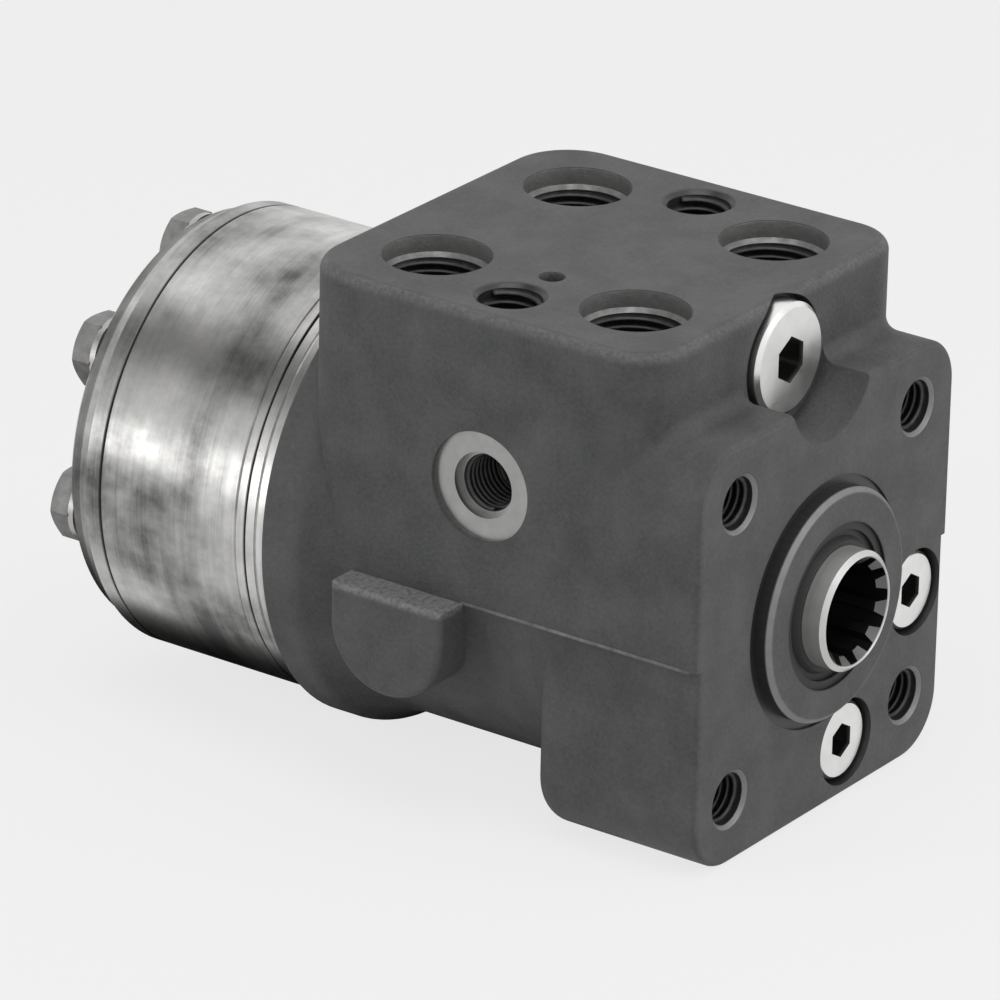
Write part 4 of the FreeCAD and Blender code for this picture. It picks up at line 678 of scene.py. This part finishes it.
# Patterns of these finishes: size of the colour's pattern, size and depth of the relief, and the
# roughness with what the colour's pattern adds to it
WEAR_SIZE, SCREW_GRAIN, SCREW_RELIEF = 2.5 * MM, 0.5 * MM, 0.02 * MM
SCREW_ROUGHNESS, WEAR_ROUGHNESS = 0.32, 0.2
CLOUD_SIZE, ZINC_GRAIN, ZINC_RELIEF = 4 * MM, 0.6 * MM, 0.015 * MM
ZINC_ROUGHNESS, CLOUD_ROUGHNESS = 0.22, 0.16
FILM_SIZE, GROUND_LINES, GROUND_RELIEF = 5 * MM, 0.3 * MM, 0.008 * MM
GROUND_ROUGHNESS, FILM_ROUGHNESS = 0.26, 0.14
DUST_SIZE, RUBBER_GRAIN, RUBBER_RELIEF = 2 * MM, 0.4 * MM, 0.02 * MM
RUBBER_ROUGHNESS, DUST_ROUGHNESS = 0.5, 0.25


def screw_steel(looks):
    """Dark oiled steel of the cover screws."""
    finish = Finish("screw_steel", metallic=1.0)
    wear = finish.noise(WEAR_SIZE, detail=5.0)
    finish.set(Base_Color=finish.blend(wear, looks.screw_dark, looks.screw_light),
               Roughness=SCREW_ROUGHNESS + wear * WEAR_ROUGHNESS)
    finish.bump(finish.noise(SCREW_GRAIN), SCREW_RELIEF)
    return finish


def plug_socket_shade(finish, axis, radii, depths):
    """1 inside a plug's hexagon socket, which gets a painted shade."""
    return finish.from_axis(finish.x, finish.z, axis).rises(*radii) * finish.y.rises(*depths)


def zinc_plate(looks):
    """Bright, slightly clouded zinc; the sockets of the plugs have a painted shade."""
    finish = Finish("zinc_plate", metallic=1.0)
    cloud = finish.noise(CLOUD_SIZE, detail=5.0)
    socket = plug_socket_shade(finish, RELIEF_AXIS, RELIEF_SOCKET_RADII, RELIEF_SOCKET_DEPTHS)
    for centre in SHOCK_AXES:
        socket = socket.larger(plug_socket_shade(finish, centre, SHOCK_SOCKET_RADII, SHOCK_SOCKET_DEPTHS))
    zinc = finish.blend(cloud, looks.zinc_dull, looks.zinc_bright)
    finish.set(Base_Color=finish.blend(socket * PLUG_SOCKET_SHADE, zinc, PLUG_SOCKET_SHADE_COLOUR),
               Roughness=ZINC_ROUGHNESS + cloud * CLOUD_ROUGHNESS)
    finish.bump(finish.noise(ZINC_GRAIN, detail=3.0), ZINC_RELIEF)
    return finish


def ground_steel(looks):
    """Spool: ground neck and cylinder with a satin film, and painted shade in its splined socket."""
    finish = Finish("ground_steel")
    lines = finish.noise(GROUND_LINES, detail=2.0, scale=LINES_DRAWN_OUT)
    film = finish.noise(FILM_SIZE, detail=4.0)
    # Inside the splined socket the colour is a painted shade
    socket = finish.disc(finish.x, finish.z, UNIT_AXIS, SOCKET_R) * finish.y.rises(*SOCKET_DEPTHS)
    ground = finish.blend(lines * 0.5 + film * 0.5, looks.spool_dull, looks.spool_bright)
    finish.set(Base_Color=finish.blend(socket * SPOOL_SOCKET_SHADE, ground, SPOOL_SOCKET_SHADE_COLOUR),
               Metallic=socket * SPOOL_SOCKET_METALLIC + SPOOL_METALLIC,
               Roughness=GROUND_ROUGHNESS + film * FILM_ROUGHNESS)
    finish.bump(lines, GROUND_RELIEF)
    return finish


def rubber(looks):
    """Black nitrile rubber, slightly dusty."""
    finish = Finish("nitrile_rubber")
    dust = finish.noise(DUST_SIZE, detail=5.0)
    finish.set(Base_Color=finish.blend(dust, looks.rubber, looks.rubber_dust),
               Roughness=RUBBER_ROUGHNESS + dust * DUST_ROUGHNESS)
    finish.bump(finish.noise(RUBBER_GRAIN), RUBBER_RELIEF)
    return finish


# Plain steels: darkest and lightest colour, roughness, size of the machining marks and how the marks
# are drawn out

PLAIN_STEELS = {
    "washer_steel": ((0.30, 0.29, 0.28), (0.60, 0.59, 0.57), 0.32, 0.5 * MM, None),
    "bonded_seal_steel": ((0.12, 0.12, 0.12), (0.30, 0.30, 0.29), 0.4, 1 * MM, None),
    "sleeve_steel": ((0.42, 0.42, 0.41), (0.66, 0.66, 0.65), 0.2, 0.4 * MM, BANDS_DRAWN_OUT),
    "bearing_steel": ((0.50, 0.50, 0.49), (0.78, 0.78, 0.77), 0.15, 0.3 * MM, None),
    "cage_steel": ((0.30, 0.29, 0.27), (0.46, 0.44, 0.41), 0.35, 0.6 * MM, None),
    "spring_steel": ((0.14, 0.14, 0.15), (0.34, 0.34, 0.36), 0.28, 0.5 * MM, None),
    "coil_steel": ((0.14, 0.14, 0.15), (0.34, 0.34, 0.36), 0.28, 0.5 * MM, None),
    "gear_steel": ((0.36, 0.36, 0.35), (0.60, 0.60, 0.58), 0.26, 0.5 * MM, None),
    "valve_steel": ((0.40, 0.40, 0.39), (0.70, 0.70, 0.69), 0.2, 0.3 * MM, None),
}
OIL_SIZE = 6 * MM
OIL_SHARE, MARK_SHARE = 0.6, 0.4
OIL_ROUGHNESS = 0.12
MARK_RELIEF = 0.01 * MM

# Valve springs, by the joint that shortens each
VALVE_SPRINGS = {"relief_lift": "relief_spring", "upper_shock_lift": "upper_shock_spring",
                 "lower_shock_lift": "lower_shock_spring"}
MERGE_DISTANCE = 0.01 * MM


def plain_steel(name):
    """Oily steel with machining marks."""
    dark, light, roughness, mark_size, drawn_out = PLAIN_STEELS[name]
    finish = Finish(name, metallic=1.0)
    oil = finish.noise(OIL_SIZE, detail=4.0)
    marks = finish.noise(mark_size, detail=3.0, scale=drawn_out)
    finish.set(Base_Color=finish.blend(oil * OIL_SHARE + marks * MARK_SHARE, dark, light),
               Roughness=roughness + oil * OIL_ROUGHNESS)
    finish.bump(marks, MARK_RELIEF)
    return finish


def shortening_spring(node, finish):
    """Copy of a coil spring with its doubled points merged, which stands in for the CAD node."""
    bm = bmesh.new()
    bm.from_mesh(frame["nodes"][node].data)
    bmesh.ops.remove_doubles(bm, verts=bm.verts, dist=MERGE_DISTANCE)
    spring = piece(node + "_coil", bm, finish)
    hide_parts(node)
    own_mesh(spring)


class HousingOperator(bpy.types.Operator):
    """Give the cast housing its grey skin and its cut metal"""

    bl_idname = "steering_unit.housing"
    bl_label = "Cast housing"
    bl_options = {"REGISTER", "UNDO"}

    def execute(self, context):
        dress(cast_iron(context.scene.steering_unit.housing), "housing")
        return {"FINISHED"}


class SeamOperator(bpy.types.Operator):
    """Add the mould's parting line on both sides of the housing"""

    bl_idname = "steering_unit.seams"
    bl_label = "Casting seams"
    bl_options = {"REGISTER", "UNDO"}

    def execute(self, context):
        looks = context.scene.steering_unit.housing
        bm = bmesh.new()
        for side in (-1, 1):
            seam_strip(bm, side, SEAM_START, SEAM_END, looks.seam_width)
        finish = Finish("seam_iron", roughness=0.6)
        worn = finish.noise(SEAM_WEAR_SIZE).swing(SEAM_WEAR) + finish.noise(looks.grain)
        finish.set(Base_Color=finish.blend(worn, looks.seam_dark, looks.seam_light))
        piece("casting_seams", bm, finish)
        return {"FINISHED"}


class PortThreadOperator(bpy.types.Operator):
    """Cut the threads of the four hose ports and the side port"""

    bl_idname = "steering_unit.port_threads"
    bl_label = "Port threads"
    bl_options = {"REGISTER", "UNDO"}

    def execute(self, context):
        sizes = context.scene.steering_unit.threads
        finish = thread_finish("port_thread_metal")
        pitches = {port: sizes.port_pitch for port in PORTS} | {"side_port": sizes.side_pitch}
        for name, pitch in pitches.items():
            mount = MOUNTS[name]
            bm = bmesh.new()
            thread_ridge(bm, mount["pos_m"], mount["axis"], mount["dims"]["r_mm"] * MM,
                         mount["dims"]["length_mm"] * MM, pitch, sizes)
            piece(name + "_thread", bm, finish)
        return {"FINISHED"}


class ScrewThreadOperator(bpy.types.Operator):
    """Cut the threads of the mounting holes and of the two holes between the ports"""

    bl_idname = "steering_unit.screw_threads"
    bl_label = "Screw hole threads"
    bl_options = {"REGISTER", "UNDO"}

    def execute(self, context):
        sizes = context.scene.steering_unit.threads
        finish = thread_finish("hole_thread_metal")
        middle = COLUMN_WALL_START + COLUMN_THREAD_LENGTH / 2
        bm = bmesh.new()
        for x, z in column_screw_places():
            thread_ridge(bm, (x, middle, z), MOUNTS["column_bolts"]["axis"], COLUMN_HOLE_R,
                         COLUMN_THREAD_LENGTH, sizes.column_pitch, sizes)
        piece("column_screw_threads", bm, finish)
        mount = MOUNTS["block_screws"]
        middle = mount["pos_m"][2] - BLOCK_THREAD_LENGTH / 2
        bm = bmesh.new()
        for x, y in block_screw_places():
            thread_ridge(bm, (x, y, middle), mount["axis"], BLOCK_HOLE_R, BLOCK_THREAD_LENGTH,
                         sizes.block_pitch, sizes)
        piece("block_screw_threads", bm, finish)
        return {"FINISHED"}


class DrumOperator(bpy.types.Operator):
    """Finish the distributor plate, the gear ring and the end cover"""

    bl_idname = "steering_unit.drum"
    bl_label = "Drum"
    bl_options = {"REGISTER", "UNDO"}

    def execute(self, context):
        steel = turned_steel(context.scene.steering_unit.drum)
        dress(steel, "distributor_plate", "gear_ring", "end_cover")
        return {"FINISHED"}


class CoverScrewOperator(bpy.types.Operator):
    """Finish the seven cover screws and their washers"""

    bl_idname = "steering_unit.cover_screws"
    bl_label = "Cover screws"
    bl_options = {"REGISTER", "UNDO"}

    def execute(self, context):
        steel = screw_steel(context.scene.steering_unit.fittings)
        dress(steel, "end_cover_screws", "pin_screw", "check_valve_bush")
        dress(plain_steel("washer_steel"), "screw_washers")
        return {"FINISHED"}


class PlugOperator(bpy.types.Operator):
    """Finish the zinc plugs and their seals"""

    bl_idname = "steering_unit.plugs"
    bl_label = "Valve plugs"
    bl_options = {"REGISTER", "UNDO"}

    def execute(self, context):
        zinc = zinc_plate(context.scene.steering_unit.fittings)
        dress(zinc, "relief_valve_plug", "shock_valve_plugs")
        dress(plain_steel("bonded_seal_steel"), "relief_valve_seal", "shock_valve_seals")
        return {"FINISHED"}


class SpoolOperator(bpy.types.Operator):
    """Finish the spool, whose splined neck takes the steering column"""

    bl_idname = "steering_unit.spool"
    bl_label = "Spool"
    bl_options = {"REGISTER", "UNDO"}

    def execute(self, context):
        dress(ground_steel(context.scene.steering_unit.fittings), "spool")
        return {"FINISHED"}


class SealOperator(bpy.types.Operator):
    """Finish the rubber seals"""

    bl_idname = "steering_unit.seals"
    bl_label = "Seals"
    bl_options = {"REGISTER", "UNDO"}

    def execute(self, context):
        black = rubber(context.scene.steering_unit.fittings)
        dress(black, "dust_seal", "shaft_seal", "housing_face_seal", "gear_ring_front_seal",
              "gear_ring_rear_seal")
        return {"FINISHED"}


class InnerPartsOperator(bpy.types.Operator):
    """Finish the sleeve, bearing, springs, gear set and valves inside the unit"""

    bl_idname = "steering_unit.inner_parts"
    bl_label = "Inner parts"
    bl_options = {"REGISTER", "UNDO"}

    def execute(self, context):
        dress(plain_steel("sleeve_steel"), "sleeve")
        dress(plain_steel("bearing_steel"), "thrust_bearing_front_race", "thrust_bearing_rear_race",
              "thrust_bearing_needles")
        dress(plain_steel("cage_steel"), "thrust_bearing_cage")
        dress(plain_steel("spring_steel"), "spring_retaining_ring", "flat_leaf_springs",
              "arched_leaf_springs")
        dress(plain_steel("gear_steel"), "rotor", "cardan_shaft", "cross_pin", "spacer")
        dress(plain_steel("valve_steel"), "check_ball", "relief_poppet", "relief_seat",
              "upper_shock_ball", "lower_shock_ball", "shock_valve_seats", "relief_adjusting_screw",
              "shock_adjusting_screws")
        return {"FINISHED"}


class ValveSpringOperator(bpy.types.Operator):
    """Finish the three valve springs as copies of their coils"""

    bl_idname = "steering_unit.valve_springs"
    bl_label = "Valve springs"
    bl_options = {"REGISTER", "UNDO"}

    def execute(self, context):
        finish = plain_steel("coil_steel")
        for joint in frame["record"]["behaviour"]["joints"]:
            if joint["name"] in VALVE_SPRINGS:
                shortening_spring(VALVE_SPRINGS[joint["name"]], finish)
        return {"FINISHED"}


# Studio: the unit stands on the flange's lower front edge and on the lower edge of the rear rim

FLANGE_BOTTOM = -42.0 * MM
RIM_BOTTOM = -45.8 * MM
RIM_FRONT = 88.75 * MM
FLOOR_SIZE = (6.0, 6.0)
FLOOR_WHITE_SHARE = 0.76
WHITE = (1.0, 1.0, 1.0, 1.0)

# Lamps: where each stands, the point that it faces, its width and height, and its power in watts
UNIT_MIDDLE = (0.0, 0.07, 0.0)
LAMPS = {
    "top_lamp": ((-0.2, -0.1, 0.9), UNIT_MIDDLE, (0.7, 0.7), 2.5),
    "side_lamp": ((-0.82, 0.65, 0.28), (0.0, 0.117, 0.02), (0.14, 0.8), 1.6),
    "front_lamp": ((0.3, -0.9, 0.35), UNIT_MIDDLE, (0.5, 0.6), 2.2),
}

# Dark cards that only mirrors show: one stands behind the drum, to its left and above it, as a painted
# dark reflection, and one lies on the floor under it, as a painted shadow in the reflections
DARK_REFLECTION_PLACE, DARK_REFLECTION_TARGET = (-0.37, 0.43, 0.41), (-0.03, 0.117, 0.03)
DARK_REFLECTION_SIZE = (0.3, 0.7)
# Place and size of the black card under the drum, a painted shadow that only mirrors show
FLOOR_SHADOW_X, FLOOR_SHADOW_Y, FLOOR_SHADOW_RISE = 0.015, 0.14, 0.2 * MM
FLOOR_SHADOW_SIZE = (0.1, 0.24)
PAINTED_REFLECTION_BLACK = (0.02, 0.02, 0.02, 1.0)

# Camera: how far right of the mounting face's middle and above it the camera stands in its own view,
# its film width in millimetres, and how far it sees
CAMERA_SHIFT = (-59.329 * MM, 18.694 * MM)
FILM_WIDTH = 36.0
CAMERA_REACH = 20.0


def seen_directly(nodes):
    """1 for rays from the camera, from a mirror or through glass."""
    path = nodes.add("ShaderNodeLightPath").outputs
    camera, mirror, glass = (
        Value(nodes, path[name]) for name in ("Is Camera Ray", "Is Glossy Ray", "Is Transmission Ray"))
    return camera.larger(mirror).larger(glass)


def stage_material(name):
    """New material of the studio and its empty nodes."""
    material = bpy.data.materials.new(name)
    material.use_nodes = True
    return material, Nodes(material.node_tree)


def floor_paint(grey):
    """Pale floor that takes the unit's shadow and otherwise looks as white as the backdrop."""
    material, nodes = stage_material("floor_paint")
    matt = nodes.add("ShaderNodeBsdfDiffuse", {}, {"Color": (grey, grey, grey, 1.0)})
    white = nodes.add("ShaderNodeEmission", {}, {"Color": WHITE, "Strength": 1.0})
    share = seen_directly(nodes) * FLOOR_WHITE_SHARE
    sockets = {0: share, 1: matt.outputs["BSDF"], 2: white.outputs["Emission"]}
    mixed = nodes.add("ShaderNodeMixShader", {}, sockets)
    nodes.add("ShaderNodeOutputMaterial", {}, {"Surface": mixed.outputs["Shader"]})
    return material


def on_floor(y=0.0, rise=0.0):
    """Place on the floor, which slopes a little because the rear rim reaches lower than the flange."""
    slope = math.atan2(RIM_BOTTOM - FLANGE_BOTTOM, RIM_FRONT)
    foot = Matrix.Translation((0.0, 0.0, FLANGE_BOTTOM)) @ Matrix.Rotation(slope, 4, "X")
    return foot @ Matrix.Translation((0.0, y, rise))


def stage_sheet(name, matrix, size, material):
    """Flat sheet of the studio."""
    bm = bmesh.new()
    stretch = Matrix.Diagonal((*size, 1.0, 1.0))
    bmesh.ops.create_grid(bm, x_segments=1, y_segments=1, size=0.5, matrix=matrix @ stretch)
    mesh = bpy.data.meshes.new(name)
    bm.to_mesh(mesh)
    bm.free()
    mesh.materials.append(material)
    sheet = bpy.data.objects.new(name, mesh)
    bpy.context.scene.collection.objects.link(sheet)
    return sheet


def room(strength):
    """Even white room light; directly seen it is plain white."""
    world = bpy.data.worlds.new("room")
    bpy.context.scene.world = world
    world.use_nodes = True
    nodes = Nodes(world.node_tree)
    level = seen_directly(nodes) * (1 - strength) + strength
    background = nodes.add("ShaderNodeBackground", {}, {"Color": WHITE, "Strength": level})
    nodes.add("ShaderNodeOutputWorld", {}, {"Surface": background.outputs["Background"]})


def facing(place, target):
    """Matrix of a lamp or card at a place that faces the target."""
    turn = (Vector(target) - Vector(place)).to_track_quat("-Z", "Y").to_matrix().to_4x4()
    return Matrix.Translation(place) @ turn


def soft_lamp(name, place, target, size, power):
    """Rectangular soft lamp."""
    lamp = bpy.data.lights.new(name, "AREA")
    lamp.shape = "RECTANGLE"
    lamp.size, lamp.size_y = size
    lamp.energy = power
    obj = bpy.data.objects.new(name, lamp)
    obj.matrix_world = facing(place, target)
    bpy.context.scene.collection.objects.link(obj)


def painted_reflection_card(name, matrix, size):
    """Black card that only mirrors show, painting a dark reflection on bright steel."""
    material, nodes = stage_material(name)
    matt = nodes.add("ShaderNodeBsdfDiffuse", {}, {"Color": PAINTED_REFLECTION_BLACK})
    nodes.add("ShaderNodeOutputMaterial", {}, {"Surface": matt.outputs["BSDF"]})
    card = stage_sheet(name, matrix, size, material)
    card.visible_camera = card.visible_diffuse = card.visible_shadow = False


def place_camera(studio):
    """Camera at the photograph's viewing angle."""
    azimuth, elevation, roll = studio.azimuth, studio.elevation, studio.roll
    back = Vector((math.sin(azimuth) * math.cos(elevation), -math.cos(azimuth) * math.cos(elevation),
                   math.sin(elevation)))
    level_right = Vector((0, 0, 1)).cross(back).normalized()
    level_up = back.cross(level_right)
    right = level_right * math.cos(roll) + level_up * math.sin(roll)
    up = level_up * math.cos(roll) - level_right * math.sin(roll)
    data = bpy.data.cameras.new("camera")
    data.sensor_width = FILM_WIDTH
    data.lens = studio.lens
    data.clip_end = CAMERA_REACH
    camera = bpy.data.objects.new("camera", data)
    place = back * studio.distance + right * CAMERA_SHIFT[0] + up * CAMERA_SHIFT[1]
    camera.matrix_world = Matrix.Translation(place) @ Matrix((right, up, back)).transposed().to_4x4()
    bpy.context.scene.collection.objects.link(camera)
    bpy.context.scene.camera = camera


class StageOperator(bpy.types.Operator):
    """Lay the floor and set the room light, the soft lamps, the dark cards that paint dark reflections,
    and the camera
    """

    bl_idname = "steering_unit.stage"
    bl_label = "Stage"
    bl_options = {"REGISTER", "UNDO"}

    def execute(self, context):
        studio = context.scene.steering_unit.studio
        context.scene.view_settings.view_transform = "Standard"
        stage_sheet("floor", on_floor(), FLOOR_SIZE, floor_paint(studio.floor_grey))
        room(studio.room_light)
        for name, (place, target, size, power) in LAMPS.items():
            soft_lamp(name, place, target, size, power)
        # Black card behind the drum that only mirrors show: a painted dark reflection
        painted_reflection_card("wall_card", facing(DARK_REFLECTION_PLACE, DARK_REFLECTION_TARGET), DARK_REFLECTION_SIZE)
        # Black card under the drum that only mirrors show: a painted shadow on the floor, seen in
        # reflections
        painted_shadow_place = Matrix.Translation((FLOOR_SHADOW_X, 0.0, 0.0)) @ on_floor(FLOOR_SHADOW_Y, FLOOR_SHADOW_RISE)
        painted_reflection_card("low_card", painted_shadow_place, FLOOR_SHADOW_SIZE)
        place_camera(studio)
        return {"FINISHED"}


OPERATORS = (HousingOperator, SeamOperator, PortThreadOperator, ScrewThreadOperator, DrumOperator,
             CoverScrewOperator, PlugOperator, SpoolOperator, SealOperator, InnerPartsOperator,
             ValveSpringOperator, StageOperator)


class SteeringUnitPanel(bpy.types.Panel):
    """Settings of the steering unit and the steps that dress it"""

    bl_idname = "VIEW3D_PT_steering_unit"
    bl_label = "Steering unit"
    bl_space_type = "VIEW_3D"
    bl_region_type = "UI"
    bl_category = "Steering unit"

    def draw(self, context):
        settings = context.scene.steering_unit
        groups = (settings.housing, settings.drum, settings.fittings, settings.threads, settings.studio)
        for group in groups:
            box = self.layout.box()
            box.label(text=group.bl_rna.description)
            for name in group.bl_rna.properties.keys():
                if name not in ("rna_type", "name"):
                    box.prop(group, name)
        for operator in OPERATORS:
            self.layout.operator(operator.bl_idname)


CLASSES = (HousingLooks, DrumLooks, FittingLooks, ThreadSizes, StudioSettings, SteeringUnitSettings,
           *OPERATORS, SteeringUnitPanel)


def register():
    for cls in CLASSES:
        bpy.utils.register_class(cls)
    bpy.types.Scene.steering_unit = PointerProperty(type=SteeringUnitSettings)


def unregister():
    del bpy.types.Scene.steering_unit
    for cls in reversed(CLASSES):
        bpy.utils.unregister_class(cls)


def main():
    """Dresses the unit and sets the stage."""
    register()
    steps = bpy.ops.steering_unit
    steps.housing()
    steps.seams()
    steps.port_threads()
    steps.screw_threads()
    steps.drum()
    steps.cover_screws()
    steps.plugs()
    steps.spool()
    steps.seals()
    steps.inner_parts()
    steps.valve_springs()
    steps.stage()


if __name__ == "__main__":
    main()
